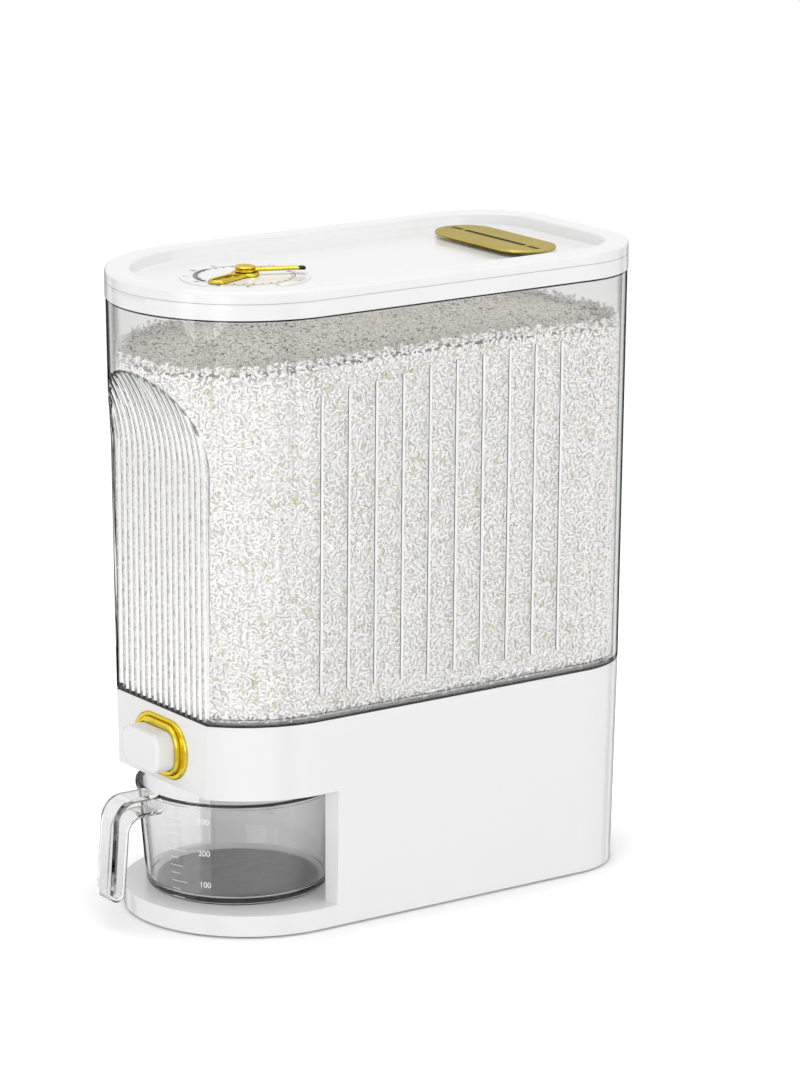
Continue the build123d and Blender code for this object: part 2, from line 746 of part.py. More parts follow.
with BuildPart() as tank:
    add(body_block(tank_bottom_z, collar_z))
    add(front_recess(reeded=True), mode=Mode.SUBTRACT)
    for rib in range(rib_count):
        rib_y = body_y - body_length / 2 + first_rib_back + rib * rib_pitch
        rise = sin(pi / 2 * rib / (rib_count - 1))
        rib_top = collar_z - rib_first_drop + (rib_first_drop - rib_last_drop) * rise
        rib_length = rib_top - rib_foot_z
        rib_middle = rib_top - rib_length / 2
        reach = body_width / 2 + lean(rib_middle)
        turned = asin(max(0, nose_y - rib_y) / reach)
        for side in (-1, 1):
            out = Vector(side * cos(turned), -sin(turned), 0)
            root = Vector(0, max(rib_y, nose_y), rib_middle) + out * (reach - rib_root)
            along = out * rib_slope + Vector(0, 0, 1)
            with BuildSketch(Plane(origin=root, x_dir=along, z_dir=out - Vector(0, 0, rib_slope))):
                SlotOverall(rib_length, rib_width)
            extrude(amount=rib_proud + rib_root, taper=25)
    add(spigot_block.part)
    add(tank_cavity.part, mode=Mode.SUBTRACT)
    add(spigot_bore.part, mode=Mode.SUBTRACT)
tank.part.label = "tank"

with BuildPart() as tank_gasket:
    add(flat_block(housing_top_z, tank_bottom_z, 0.4))
    add(flat_block(housing_top_z - 1, tank_bottom_z + 1, tank_wall), mode=Mode.SUBTRACT)
tank_gasket.part.label = "tank_gasket"

with BuildPart() as thumb_scoop:
    with Locations((0, nose_y - body_width / 2 - lid_grow, parting_z)):
        Box(scoop_width, 2 * scoop_depth + 6, scoop_height, align=(Align.CENTER, Align.CENTER, Align.MAX))
    lower = plan(parting_z - scoop_height - 0.5, lid_grow + 0.13)
    upper = plan(parting_z + 0.5, lid_grow - scoop_depth)
    loft([lower, upper], ruled=True, mode=Mode.SUBTRACT)

with BuildPart() as collar:
    add(straight_ring(collar_z, parting_z, lid_grow, lid_grow - collar_wall))
    flange_outside = lid_grow - collar_wall / 2
    add(straight_ring(collar_z, collar_z + collar_floor, flange_outside, lid_grow - collar_opening))
    spigot_outside = lid_grow - collar_overhang - tank_wall - slip - 0.2
    add(straight_ring(collar_z - collar_spigot, collar_z + 1, spigot_outside, spigot_outside - 1.8))
    add(thumb_scoop.part, mode=Mode.SUBTRACT)
collar.part.label = "collar"

# ======== Lid: raised rim, sunken panel, and a skirt that carries the seal ========
seal_outside = lid_grow - collar_wall - slip
skirt_outside = seal_outside - seal_width
rim_inside = lid_grow - rim_width
panel_grow = rim_inside - panel_slope
rim_skin_z = rim_z - lid_wall
skirt_z = parting_z - skirt_depth
grip_screws_at = [(-grip_screw_x, grip_y), (grip_screw_x, grip_y)]

with BuildPart() as lid:
    extrude(plan(parting_z, lid_grow), amount=rim_z - parting_z)
    fillet(lid.faces().sort_by(Axis.Z)[-1].edges(), lid_edge)
    extrude(plan(panel_z - lid_wall, panel_grow + lid_wall), amount=lid_wall)
    loft([plan(panel_z, panel_grow), plan(rim_z, rim_inside)], ruled=True, mode=Mode.SUBTRACT)
    fillet(lid.faces().sort_by(Axis.Z)[-1].inner_wires()[0].edges(), 1.6)
    # hollow underneath the rim
    hollow = straight_ring(parting_z - 1, rim_skin_z, lid_grow - lid_wall, rim_inside + lid_wall)
    add(hollow, mode=Mode.SUBTRACT)
    # skirt
    add(straight_ring(skirt_z, rim_skin_z + 0.5, skirt_outside, skirt_outside - skirt_wall))
    # holes for the dial's pin and for the grip's screws
    with BuildSketch(Plane.XY.offset(panel_z)):
        with Locations((0, nose_y)):
            Circle(pin_radius + running_gap)
        with Locations(*grip_screws_at):
            Circle(screw_radius + slip)
    extrude(amount=-lid_wall, mode=Mode.SUBTRACT)
lid.part.label = "lid"

with BuildPart() as lid_seal:
    seal_z = skirt_z + seal_rise
    add(straight_ring(seal_z, seal_z + seal_height, seal_outside, skirt_outside))
lid_seal.part.label = "lid_seal"

# ======== Rice: one solid for the whole fill, from the gate up to its low heap ========
heap_front = (nose_y - body_width / 2 - lid_grow, collar_z - rice_front_drop)
heap_middle = (body_y, collar_z - rice_middle_drop)
heap_back = (body_y + body_length / 2 + lid_grow, collar_z - rice_back_drop)
with BuildPart() as above_rice:
    with BuildSketch(Plane.YZ):
        with BuildLine():
            ThreePointArc(heap_front, heap_middle, heap_back)
            Line(heap_back, (heap_back[0], rim_z))
            Line((heap_back[0], rim_z), (heap_front[0], rim_z))
            Line((heap_front[0], rim_z), heap_front)
        make_face()
    extrude(amount=body_width, both=True)

with BuildPart() as hopper_rice:
    add(hopper_space(-rice_clear, hopper_top_z + slip))
    hopper_rice_inset = hopper_inset + rim_ring_wall + rice_clear
    add(flat_block(chute_top_z, hopper_top_z + slip, hopper_rice_inset), mode=Mode.INTERSECT)

with BuildPart() as rice_fill:
    add(body_block(tank_floor_z, collar_z, tank_wall + rice_clear))
    add(front_recess(tank_wall + rice_clear), mode=Mode.SUBTRACT)
    add(above_rice.part, mode=Mode.SUBTRACT)
    add(flat_block(hopper_top_z + slip, tank_floor_z, mouth_inset + rice_clear))
    add(hopper_rice.part)
    with BuildSketch(Plane.XY.offset(gate_top_z + slip)):
        with Locations((0, outlet_y)):
            Rectangle(outlet_width - 2 * rice_clear, outlet_length - 2 * rice_clear)
    extrude(amount=chute_top_z - gate_top_z - slip)
rice_fill.part.label = "rice_fill"

# ======== Grip: gold capsule plate on a flared stem ========
grip_bottom_z = panel_z + grip_lift
grip_top_z = grip_bottom_z + grip_plate
grip_screw_bite = grip_lift
with BuildPart() as lid_grip:
    with BuildSketch(Plane.XY.offset(grip_bottom_z)):
        with Locations((0, grip_y)):
            SlotOverall(grip_width, grip_length)
    extrude(amount=grip_plate)
    fillet(lid_grip.faces().sort_by(Axis.Z)[-1].edges(), 0.5)
    with BuildSketch(Plane.XY.offset(panel_z)):
        with Locations((0, grip_y)):
            SlotOverall(*stem_foot)
    with BuildSketch(Plane.XY.offset(grip_bottom_z + 0.2)):
        with Locations((0, grip_y)):
            SlotOverall(*stem_top)
    loft(ruled=True)
    with BuildSketch(Plane.XY.offset(grip_top_z)):
        with Locations((0, grip_y)):
            SlotOverall(grip_groove_width, grip_groove_length)
    extrude(amount=-grip_groove_depth, mode=Mode.SUBTRACT)
    with BuildSketch(Plane.XY.offset(grip_top_z)):
        for side in (-1, 1):
            first = grip_groove_width / 2 + knurl_pitch
            with Locations((side * (first + (knurl_count - 1) * knurl_pitch / 2), grip_y)):
                with GridLocations(knurl_pitch, 0, knurl_count - 2, 1):
                    Rectangle(knurl_pitch / 2, grip_groove_length)
    extrude(amount=-grip_groove_depth / 2, mode=Mode.SUBTRACT)
    with BuildSketch(Plane.XY.offset(panel_z)):
        with Locations(*grip_screws_at):
            Circle(screw_radius)
    extrude(amount=grip_screw_bite, mode=Mode.SUBTRACT)
lid_grip.part.label = "lid_grip"

with BuildPart() as grip_inlay:
    with BuildSketch(Plane.XY.offset(grip_top_z - grip_groove_depth)):
        with Locations((0, grip_y)):
            SlotOverall(grip_groove_width - 2 * slip, grip_groove_length - 2 * slip)
    extrude(amount=grip_groove_depth - grip_inlay_sunk)
grip_inlay.part.label = "grip_inlay"

with BuildPart() as grip_screws:
    for place in grip_screws_at:
        add(screw(panel_z - lid_wall, lid_wall + grip_screw_bite - 0.3, place))
grip_screws.part.label = "grip_screws"

# ======== Dial: plate, pin, two hands and the hub cap ========
dial_top_z = panel_z + dial_thickness
day_hand_z = dial_top_z + hand_gap
month_hand_z = day_hand_z + hand_thickness + hand_gap
hub_cap_z = month_hand_z + hand_thickness + hand_gap

with BuildPart() as dial_plate:
    with BuildSketch(Plane.XY.offset(panel_z)):
        with Locations((0, nose_y)):
            Circle(dial_radius)
            Circle(pin_radius + running_gap, mode=Mode.SUBTRACT)
    extrude(amount=dial_thickness)
    with BuildSketch(Plane.XY.offset(dial_top_z)):
        with Locations((0, nose_y)):
            Circle(dial_radius - dial_step + 0.7)
            Circle(dial_radius - dial_step, mode=Mode.SUBTRACT)
    extrude(amount=-0.3, mode=Mode.SUBTRACT)
    fillet(dial_plate.edges().group_by(Axis.Z)[-1].sort_by(SortBy.LENGTH)[-1], 0.4)
dial_plate.part.label = "dial_plate"

with BuildPart() as dial_pin:
    with BuildSketch(Plane.XY.offset(panel_z - lid_wall)):
        with Locations((0, nose_y)):
            Circle(pin_radius)
    extrude(amount=hub_cap_z - panel_z + lid_wall)
    with BuildSketch(Plane.XY.offset(panel_z - lid_wall)):
        with Locations((0, nose_y)):
            Circle(2 * pin_radius)
    extrude(amount=-1.4)
dial_pin.part.label = "dial_pin"

with BuildPart() as hub_cap:
    with BuildSketch(Plane.XY.offset(hub_cap_z)):
        with Locations((0, nose_y)):
            Circle(hub_radius)
    extrude(amount=hub_thickness)
    fillet(hub_cap.faces().sort_by(Axis.Z)[-1].edges(), 0.9)
hub_cap.part.label = "hub_cap"


def along_hand(turned, height):
    """The plane of a hand: its X axis runs from the pin to the tip."""
    angle = radians(turned)
    return Plane(origin=(0, nose_y, height), x_dir=(cos(angle), sin(angle), 0), z_dir=(0, 0, 1))


with BuildPart() as day_hand:
    with BuildSketch(along_hand(day_hand_turned, day_hand_z)):
        with Locations(((hand_reach - day_hand_width / 2) / 2, 0)):
            SlotOverall(hand_reach + day_hand_width / 2, day_hand_width)
        Circle(day_hub_radius)
        with Locations((hand_reach / 2 + 5.0, 0)):
            SlotOverall(hand_reach - day_hub_radius - 6.0, day_hand_width - 6.0, mode=Mode.SUBTRACT)
        Circle(pin_radius + running_gap, mode=Mode.SUBTRACT)
    extrude(amount=hand_thickness)
    chamfer(day_hand.faces().sort_by(Axis.Z)[-1].outer_wire().edges(), 0.6)
day_hand.part.label = "day_hand"

with BuildPart() as month_hand:
    with BuildSketch(along_hand(month_hand_turned, month_hand_z)):
        Circle(month_hub_radius)
        with Locations((hand_reach / 2, 0)):
            Rectangle(hand_reach, month_hand_width)
        with Locations((hand_reach, 0)):
            Circle(hand_tip_radius + running_gap, mode=Mode.SUBTRACT)
        Circle(pin_radius + running_gap, mode=Mode.SUBTRACT)
    extrude(amount=hand_thickness)
    chamfer(month_hand.faces().sort_by(Axis.Z)[-1].outer_wire().edges(), 0.7)
month_hand.part.label = "month_hand"

with BuildPart() as hand_tip:
    with BuildSketch(along_hand(month_hand_turned, month_hand_z)):
        with Locations((hand_reach, 0)):
            Circle(hand_tip_radius)
    extrude(amount=hand_thickness)
    chamfer(hand_tip.faces().sort_by(Axis.Z)[-1].edges(), 0.8)
hand_tip.part.label = "hand_tip"

# ======== Cup and its handle ========
cup_z = ledge_z + slip
cup_rim_z = alcove_top_z - cup_headroom
cup_plane = Plane(origin=(0, cup_y, 0), x_dir=(1, 0, 0), z_dir=(0, -1, 0))
bead_bottom_z = cup_rim_z - cup_bead_height
wall_top_radius = cup_rim_radius - cup_bead
foot_ring_radius = cup_foot_radius - cup_corner
foot_hollow_radius = foot_ring_radius - cup_foot_ring
cup_floor_z = cup_z + cup_floor
cup_under_z = cup_z + cup_foot_hollow

with BuildPart() as cup:
    with BuildSketch(cup_plane):
        with BuildLine():
            Line((0, cup_under_z), (foot_hollow_radius, cup_under_z))
            Line((foot_hollow_radius, cup_under_z), (foot_hollow_radius, cup_z))
            Line((foot_hollow_radius, cup_z), (foot_ring_radius, cup_z))
            wall_foot = (cup_foot_radius, cup_z + cup_corner)
            TangentArc((foot_ring_radius, cup_z), wall_foot, tangent=(1, 0))
            Line(wall_foot, (wall_top_radius, bead_bottom_z))
            Line((wall_top_radius, bead_bottom_z), (cup_rim_radius, bead_bottom_z + 0.8))
            Line((cup_rim_radius, bead_bottom_z + 0.8), (cup_rim_radius, cup_rim_z))
            Line((cup_rim_radius, cup_rim_z), (wall_top_radius - cup_wall, cup_rim_z))
            inner_foot = (cup_foot_radius - cup_wall, cup_floor_z + cup_floor_corner)
            floor_edge = (cup_foot_radius - cup_wall - cup_floor_corner, cup_floor_z)
            Line((wall_top_radius - cup_wall, cup_rim_z), inner_foot)
            TangentArc(floor_edge, inner_foot, tangent=(1, 0))
            Line(floor_edge, (0, cup_floor_z))
            Line((0, cup_floor_z), (0, cup_under_z))
        make_face()
    revolve(axis=Axis((0, cup_y, 0), (0, 0, 1)))
    fillet(cup.edges().filter_by(GeomType.CIRCLE).group_by(Axis.Z)[-1], 0.7)
cup.part.label = "cup"

with BuildPart() as cup_pad:
    with BuildSketch(Plane.XY.offset(cup_under_z)):
        with Locations((0, cup_y)):
            Circle(foot_hollow_radius - slip)
    extrude(amount=-pad_thickness)
cup_pad.part.label = "cup_pad"

handle_plane = Plane(origin=(0, cup_y, 0), x_dir=(0, -1, 0), z_dir=(-1, 0, 0))
handle_top_z = cup_rim_z + handle_rise
handle_foot_z = ledge_z + handle_foot


def handle_profile(inset):
    """The handle from the side: arm, bend, leaning leg and round end, drawn in by inset."""
    top = handle_top_z - inset
    outer_top = handle_reach - handle_lean - inset
    outer_foot = handle_reach - inset
    inner_top = outer_top + 2 * inset - handle_leg
    inner_foot = outer_foot + 2 * inset - handle_leg
    under = handle_top_z - handle_arm + inset
    bend = handle_top_z - handle_bend
    arc_start = handle_reach - handle_lean - handle_bend
    inner_radius = handle_inner_bend + inset
    inner_bend = under - inner_radius
    middle = (outer_foot + inner_foot) / 2
    tip = handle_foot_z - (outer_foot - inner_foot) / 2
    near = cup_foot_radius - 10
    with BuildSketch(handle_plane) as side:
        with BuildLine():
            Line((near, top), (arc_start, top))
            RadiusArc((arc_start, top), (outer_top, bend), handle_bend - inset)
            Line((outer_top, bend), (outer_foot, handle_foot_z))
            ThreePointArc((outer_foot, handle_foot_z), (middle, tip), (inner_foot, handle_foot_z))
            Line((inner_foot, handle_foot_z), (inner_top, inner_bend))
            RadiusArc((inner_top, inner_bend), (inner_top - inner_radius, under), -inner_radius)
            Line((inner_top - inner_radius, under), (near, under))
            Line((near, under), (near, top))
        make_face()
    return side.sketch


with BuildPart() as cup_outside:
    with BuildSketch(cup_plane):
        with BuildLine():
            Polyline(
                (0, cup_z),
                (cup_foot_radius + 0.03, cup_z),
                (cup_foot_radius + 0.03, cup_z + cup_corner),
                (wall_top_radius + 0.03, bead_bottom_z),
                (cup_rim_radius + 0.03, bead_bottom_z + 0.8),
                (cup_rim_radius + 0.03, cup_rim_z + 5),
                (0, cup_rim_z + 5),
                close=True,
            )
        make_face()
    revolve(axis=Axis((0, cup_y, 0), (0, 0, 1)))

with BuildPart() as cup_handle:
    extrude(handle_profile(0), amount=handle_width / 2, both=True)
    for side_face in (0, -1):
        chamfer(cup_handle.faces().sort_by(Axis.X)[side_face].outer_wire().edges(), handle_edge)
    inner_half = handle_width / 2 - handle_wall
    extrude(handle_profile(handle_wall), amount=inner_half, both=True, mode=Mode.SUBTRACT)
    add(cup_outside.part, mode=Mode.SUBTRACT)
cup_handle.part.label = "cup_handle"

pieces = [
    housing,
    bottom_cover,
    cover_screws,
    rubber_feet,
    outlet_chute,
    chute_screws,
    hopper,
    gate_slide,
    push_rod,
    gate_screws,
    button_cap,
    button_guide,
    guide_screws,
    button_spring,
    button_bezel,
    tank,
    tank_gasket,
    rice_fill,
    collar,
    lid,
    lid_seal,
    lid_grip,
    grip_inlay,
    grip_screws,
    dial_plate,
    dial_pin,
    hub_cap,
    day_hand,
    month_hand,
    hand_tip,
    cup,
    cup_pad,
    cup_handle,
]
os.makedirs("parts", exist_ok=True)
for piece in pieces:
    export_step(piece.part, f"parts/{piece.part.label}.step")
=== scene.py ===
"""Finishes, rice, printing, light and camera for a countertop rice dispenser.

Everything is in metres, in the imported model's own frame: +Z up, the front towards -Y.
"""

import math

import bmesh
import bpy
import numpy as np
from bpy.props import FloatProperty, FloatVectorProperty, IntProperty, PointerProperty
from bpy.types import Operator, Panel, PropertyGroup
from mathutils import Matrix, Vector
from mathutils.kdtree import KDTree


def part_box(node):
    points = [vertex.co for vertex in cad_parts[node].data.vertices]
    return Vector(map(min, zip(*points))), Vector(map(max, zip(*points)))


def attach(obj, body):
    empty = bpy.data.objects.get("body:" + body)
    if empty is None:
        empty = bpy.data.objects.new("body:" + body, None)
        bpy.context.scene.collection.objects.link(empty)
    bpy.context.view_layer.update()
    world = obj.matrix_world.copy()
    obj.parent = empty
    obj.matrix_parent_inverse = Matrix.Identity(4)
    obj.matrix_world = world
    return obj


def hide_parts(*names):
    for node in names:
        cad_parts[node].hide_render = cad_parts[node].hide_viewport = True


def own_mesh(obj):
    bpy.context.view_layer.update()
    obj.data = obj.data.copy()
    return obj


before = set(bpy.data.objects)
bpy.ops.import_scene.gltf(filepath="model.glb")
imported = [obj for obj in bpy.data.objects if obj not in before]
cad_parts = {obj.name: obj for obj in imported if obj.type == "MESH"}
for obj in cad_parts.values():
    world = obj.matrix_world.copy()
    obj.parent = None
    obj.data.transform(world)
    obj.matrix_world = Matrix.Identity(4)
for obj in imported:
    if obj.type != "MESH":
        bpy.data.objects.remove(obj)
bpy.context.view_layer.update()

bl_info = {
    "name": "Rice dispenser",
    "version": (1, 0, 0),
    "blender": (4, 5, 0),
    "location": "3D View > Sidebar > Rice dispenser",
    "description": "Finishes, fills, prints and lights a countertop rice dispenser",
    "category": "Object",
}

MM = 0.001


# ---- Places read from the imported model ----
def node_box(node):
    """A node's lowest and highest corners as vectors."""
    low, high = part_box(node)
    return Vector(low), Vector(high)


_, GASKET_HIGH = node_box("tank_gasket")
TANK_LOW, TANK_HIGH = node_box("tank")
_, COLLAR_HIGH = node_box("collar")
LID_LOW, _ = node_box("lid")
CUP_LOW, CUP_HIGH = node_box("cup")
DIAL_LOW, DIAL_HIGH = node_box("dial_plate")

# The tank leaves the housing at JOINT_Z. Its sides lean outwards from there, and carry ribs.
JOINT_Z = GASKET_HIGH.z
TANK_FOOT_X = 81.4 * MM
TANK_SLOPE = 3.1 / 249.3
TANK_SIDE = TANK_FOOT_X - TANK_SLOPE * JOINT_Z
RIB_PROUD = 0.8 * MM

DIAL_CENTRE = Vector(((DIAL_LOW.x + DIAL_HIGH.x) / 2, (DIAL_LOW.y + DIAL_HIGH.y) / 2, DIAL_HIGH.z))

# The cup narrows from its rim, which ends in a bead, to a rounded corner at its foot.
CUP_Y = (CUP_LOW.y + CUP_HIGH.y) / 2
CUP_RIM_RADIUS = (CUP_HIGH.x - CUP_LOW.x) / 2
CUP_BEAD = 1.0 * MM
CUP_TAPER = 6.0 * MM
CUP_CORNER = 4.5 * MM
CUP_BEAD_HEIGHT = 3.2 * MM


def colour(text):
    """An sRGB hex colour as linear red, green and blue."""
    channels = [int(text[place : place + 2], 16) / 255 for place in (0, 2, 4)]
    return tuple(c / 12.92 if c <= 0.04045 else ((c + 0.055) / 1.055) ** 2.4 for c in channels)


# ---- Sizes and colours that can be set ----
def colour_property(name, text, description):
    """A colour that shows as a swatch."""
    return FloatVectorProperty(
        name=name, description=description, subtype="COLOR", size=3, min=0, max=1, default=colour(text)
    )


def length_property(name, default, description):
    """A length in the scene's unit."""
    return FloatProperty(name=name, description=description, default=default, min=0, unit="LENGTH")


def power_property(name, default, description):
    """A lamp's power in watts."""
    return FloatProperty(name=name, description=description, default=default, min=0, unit="POWER")


class DispenserFinishes(PropertyGroup):
    """Colours of the mouldings and fittings."""

    white: colour_property("White", "EEEEEE", "Polished white mouldings")
    # Painted shade: the grey painted in a hairline where the lid meets the collar.
    seam: colour_property("Seam", "B2B2B3", "Shade between the lid and the collar")
    gold: colour_property("Gold", "F3DA50", "Gold plating of the hands and bezel")
    old_gold: colour_property("Old gold", "D6C66C", "Deeper gold plating of the lid's grip")
    # Mixed in at random as the plating's deeper tone; at a tenth of its brightness it is also the shade
    # painted at the gold's edges.
    gold_shade: colour_property("Gold shade", "A8861C", "Deeper tone in the plating's hollows")
    black: colour_property("Black", "1B1A19", "Black inlay of the grip and tip of the hand")
    rubber: colour_property("Rubber", "1E1F20", "Gasket and feet")
    pad: colour_property("Pad", "9C9D9F", "Non-slip pad under the cup")
    seal: colour_property("Seal", "DDE0E0", "Lid seal")
    works: colour_property("Works", "D9DBDC", "Natural acetal of the gate and its guides")
    steel: colour_property("Steel", "B9BBBE", "Zinc-plated screws and spring")
    tank_clear: colour_property("Tank clear", "FDFDFC", "Tint of the clear tank")
    cup_clear: colour_property("Cup clear", "F8F8F8", "Tint of the clear cup")
    # Painted shade: the dark painted on clear walls where they turn away from view, at their ends and on the
    # tank's ribs.
    clear_edge_shade: colour_property("Clear edge", "17191A", "Tint of clear walls seen along their length")


class DispenserRice(PropertyGroup):
    """The rice in the tank."""

    grain_length: length_property("Grain length", 4.3 * MM, "Length of one polished grain")
    grain_width: length_property("Grain width", 1.75 * MM, "Width of one polished grain")
    spacing: length_property("Spacing", 2.4 * MM, "Distance between the grains that show")
    unevenness: length_property("Unevenness", 0.45 * MM, "How far a grain may lie behind the rest")
    core_depth: length_property("Core depth", 1.8 * MM, "The packed rice lies this far behind the surface")
    heap: length_property("Heap", 6.5 * MM, "Height of the loose grains against the walls")
    white: colour_property("Grain", "FAF9F9", "Polished rice against the walls")
    # Painted shade: the rice on top is given a darker, warmer copy of the grain colour, for the shade it
    # lies in under the lid.
    loose: colour_property("Loose grain", "F2F0E9", "Polished rice on top")
    warm: colour_property("Warm grain", "D9D6B6", "The few yellower grains against the walls")
    # Painted shade: a few grains on top, picked at random, take this grey, for grains lying in shade.
    shaded: colour_property("Shaded grain", "A29E95", "The few darker grains on top")
    # Painted shade: the grey of the shadow deep between the grains.
    gap: colour_property("Gap", "C9C8C7", "Between the grains")
    seed: IntProperty(name="Seed", description="Start of the random draws", default=7, min=0)


class DispenserPrint(PropertyGroup):
    """Printing on the cup and on the dial."""

    cup_ink: colour_property("Cup ink", "FFFFFF", "White screen print on the cup")
    dial_ink: colour_property("Dial ink", "44474B", "Grey print on the dial")
    dial_black: colour_property("Dial black", "2B2C2E", "Darker arcs on the dial")
    cup_figure: length_property("Cup figure", 3.8 * MM, "Height of the cup's figures")
    dial_figure: length_property("Dial figure", 4.0 * MM, "Height of the dial's figures")


class DispenserStage(PropertyGroup):
    """Floor, lamps and flags."""

    floor: colour_property("Floor", "FFFFFF", "Pale studio floor")
    top_power: power_property("Top power", 13.0, "Softbox above")
    front_power: power_property("Front power", 6.0, "Softbox in front of the nose")
    flank_power: power_property("Flank power", 7.2, "Softbox beside the long side")
    lid_power: power_property("Fill under the lid", 0.042, "Small lamp above the rice")
    bay_power: power_property("Fill in the bay", 0.024, "Small lamp above the cup")
    world_light: FloatProperty(
        name="World light", description="Even light from all round", default=0.56, min=0
    )


GROUPS = {
    "dispenser_finishes": DispenserFinishes,
    "dispenser_rice": DispenserRice,
    "dispenser_print": DispenserPrint,
    "dispenser_stage": DispenserStage,
}


# ---- Materials ----
def add_node(material, kind, inputs=None, **settings):
    """Adds a node, sets its properties, and sets or links its inputs."""
    tree = material.node_tree
    node = tree.nodes.new(kind)
    for name, value in settings.items():
        setattr(node, name, value)
    for name, value in (inputs or {}).items():
        socket = node.inputs[name]
        if isinstance(value, bpy.types.NodeSocket):
            tree.links.new(value, socket)
        elif socket.type == "RGBA":
            socket.default_value = (*value, 1.0)
        else:
            socket.default_value = value
    return node


def new_material(name):
    """An empty node material."""
    material = bpy.data.materials.new(name)
    material.use_nodes = True
    material.node_tree.nodes.clear()
    return material


def finish_material(material, shader):
    """Links a shader to the material's surface."""
    add_node(material, "ShaderNodeOutputMaterial", {"Surface": shader})
    return material


def noise(material, size, detail=2.0):
    """Noise whose features are about size metres across."""
    place = add_node(material, "ShaderNodeTexCoord").outputs["Object"]
    inputs = {"Vector": place, "Scale": 1 / size, "Detail": detail}
    return add_node(material, "ShaderNodeTexNoise", inputs).outputs["Fac"]


def spread(material, factor, low, high):
    """Maps noise, which lies mostly from 0.3 to 0.7, onto low to high."""
    inputs = {"Value": factor, "From Min": 0.3, "From Max": 0.7, "To Min": low, "To Max": high}
    return add_node(material, "ShaderNodeMapRange", inputs).outputs["Result"]


def darker(base, share):
    """The same hue at a share of its brightness."""
    return tuple(share * channel for channel in base)


def near_height(material, height, reach):
    """1 within reach of a height, and 0 away from it."""
    place = add_node(material, "ShaderNodeTexCoord").outputs["Object"]
    up = add_node(material, "ShaderNodeSeparateXYZ", {"Vector": place}).outputs["Z"]
    inputs = {0: up, 1: height, 2: reach}
    return add_node(material, "ShaderNodeMath", inputs, operation="COMPARE").outputs[0]


def near_edge(material, reach):
    """1 at a sharp edge, and 0 from this far away from it."""
    plain = add_node(material, "ShaderNodeNewGeometry").outputs["Normal"]
    rounded = add_node(material, "ShaderNodeBevel", {"Radius": reach}, samples=6).outputs["Normal"]
    both = {0: plain, 1: rounded}
    alike = add_node(material, "ShaderNodeVectorMath", both, operation="DOT_PRODUCT").outputs["Value"]
    inputs = {"Value": alike, "From Min": 0.99, "From Max": 0.85}
    return add_node(material, "ShaderNodeMapRange", inputs).outputs["Result"]


def upright(material):
    """0 on level faces, such as the cup's floor, and 1 on the rest."""
    normal = add_node(material, "ShaderNodeNewGeometry").outputs["Normal"]
    rise = add_node(material, "ShaderNodeSeparateXYZ", {"Vector": normal}).outputs["Z"]
    level = add_node(material, "ShaderNodeMath", {0: rise}, operation="ABSOLUTE").outputs[0]
    inputs = {"Value": level, "From Min": 0.9, "From Max": 0.97, "To Min": 1.0, "To Max": 0.0}
    return add_node(material, "ShaderNodeMapRange", inputs).outputs["Result"]


def rib_sides(material):
    """1 on the crests of the tank's ribs, where a highlight is painted, and up to 1 on their sides towards
    the front, where shade is painted.

    The painted shade is full at the ribs' feet, and fades out at mid height.
    """
    full_to, gone_from = JOINT_Z + 100 * MM, JOINT_Z + 165 * MM
    rib_foot = 0.1 * MM
    place = add_node(material, "ShaderNodeTexCoord").outputs["Object"]
    outward = add_node(material, "ShaderNodeVectorMath", {0: place}, operation="ABSOLUTE").outputs["Vector"]
    leaning = {0: outward, 1: (1, 0, -TANK_SLOPE)}
    reach = add_node(material, "ShaderNodeVectorMath", leaning, operation="DOT_PRODUCT").outputs["Value"]
    on_crest = {0: reach, 1: TANK_SIDE + RIB_PROUD / 2}
    crest = add_node(material, "ShaderNodeMath", on_crest, operation="GREATER_THAN").outputs[0]
    surface = add_node(material, "ShaderNodeNewGeometry").outputs
    along = add_node(material, "ShaderNodeSeparateXYZ", {"Vector": surface["Normal"]}).outputs["Y"]
    turned = {"Value": surface["Backfacing"], "To Min": -1.0, "To Max": 1.0}
    sign = add_node(material, "ShaderNodeMapRange", turned).outputs["Result"]
    forward = add_node(material, "ShaderNodeMath", {0: along, 1: sign}, operation="MULTIPLY").outputs[0]
    up = add_node(material, "ShaderNodeSeparateXYZ", {"Vector": place}).outputs["Z"]
    fading = {"Value": up, "From Min": full_to, "From Max": gone_from, "To Min": 1.0, "To Max": 0.0}
    fade = add_node(material, "ShaderNodeMapRange", fading).outputs["Result"]
    side = add_node(material, "ShaderNodeMath", {0: forward, 1: 0.5}, operation="GREATER_THAN").outputs[0]
    on_rib = {0: reach, 1: TANK_SIDE + rib_foot}
    rib = add_node(material, "ShaderNodeMath", on_rib, operation="GREATER_THAN").outputs[0]
    shaded_rib = add_node(material, "ShaderNodeMath", {0: side, 1: rib}, operation="MULTIPLY").outputs[0]
    shade = add_node(material, "ShaderNodeMath", {0: shaded_rib, 1: fade}, operation="MULTIPLY").outputs[0]
    return crest, shade


def polished_abs(name, base, seam_z, seam):
    """ABS, injection-moulded in a polished tool: one even white, with a soft gloss that wavers slightly.

    Where the two mouldings meet, a hairline of grey is painted around at the seam's height: painted shade
    for the gap between them.
    """
    material = new_material(name)
    flow = noise(material, 30 * MM)
    skin = noise(material, 1.2 * MM)
    # Painted shade: a grey band painted on the white at the seam's height.
    tones = {0: near_height(material, seam_z, 0.25 * MM), 6: base, 7: seam}
    relief = {"Height": skin, "Strength": 0.03, "Distance": 0.04 * MM}
    inputs = {
        "Base Color": add_node(material, "ShaderNodeMix", tones, data_type="RGBA").outputs[2],
        "Roughness": spread(material, flow, 0.17, 0.23),
        "IOR": 1.53,
        "Normal": add_node(material, "ShaderNodeBump", relief).outputs["Normal"],
    }
    shader = add_node(material, "ShaderNodeBsdfPrincipled", inputs)
    return finish_material(material, shader.outputs["BSDF"])


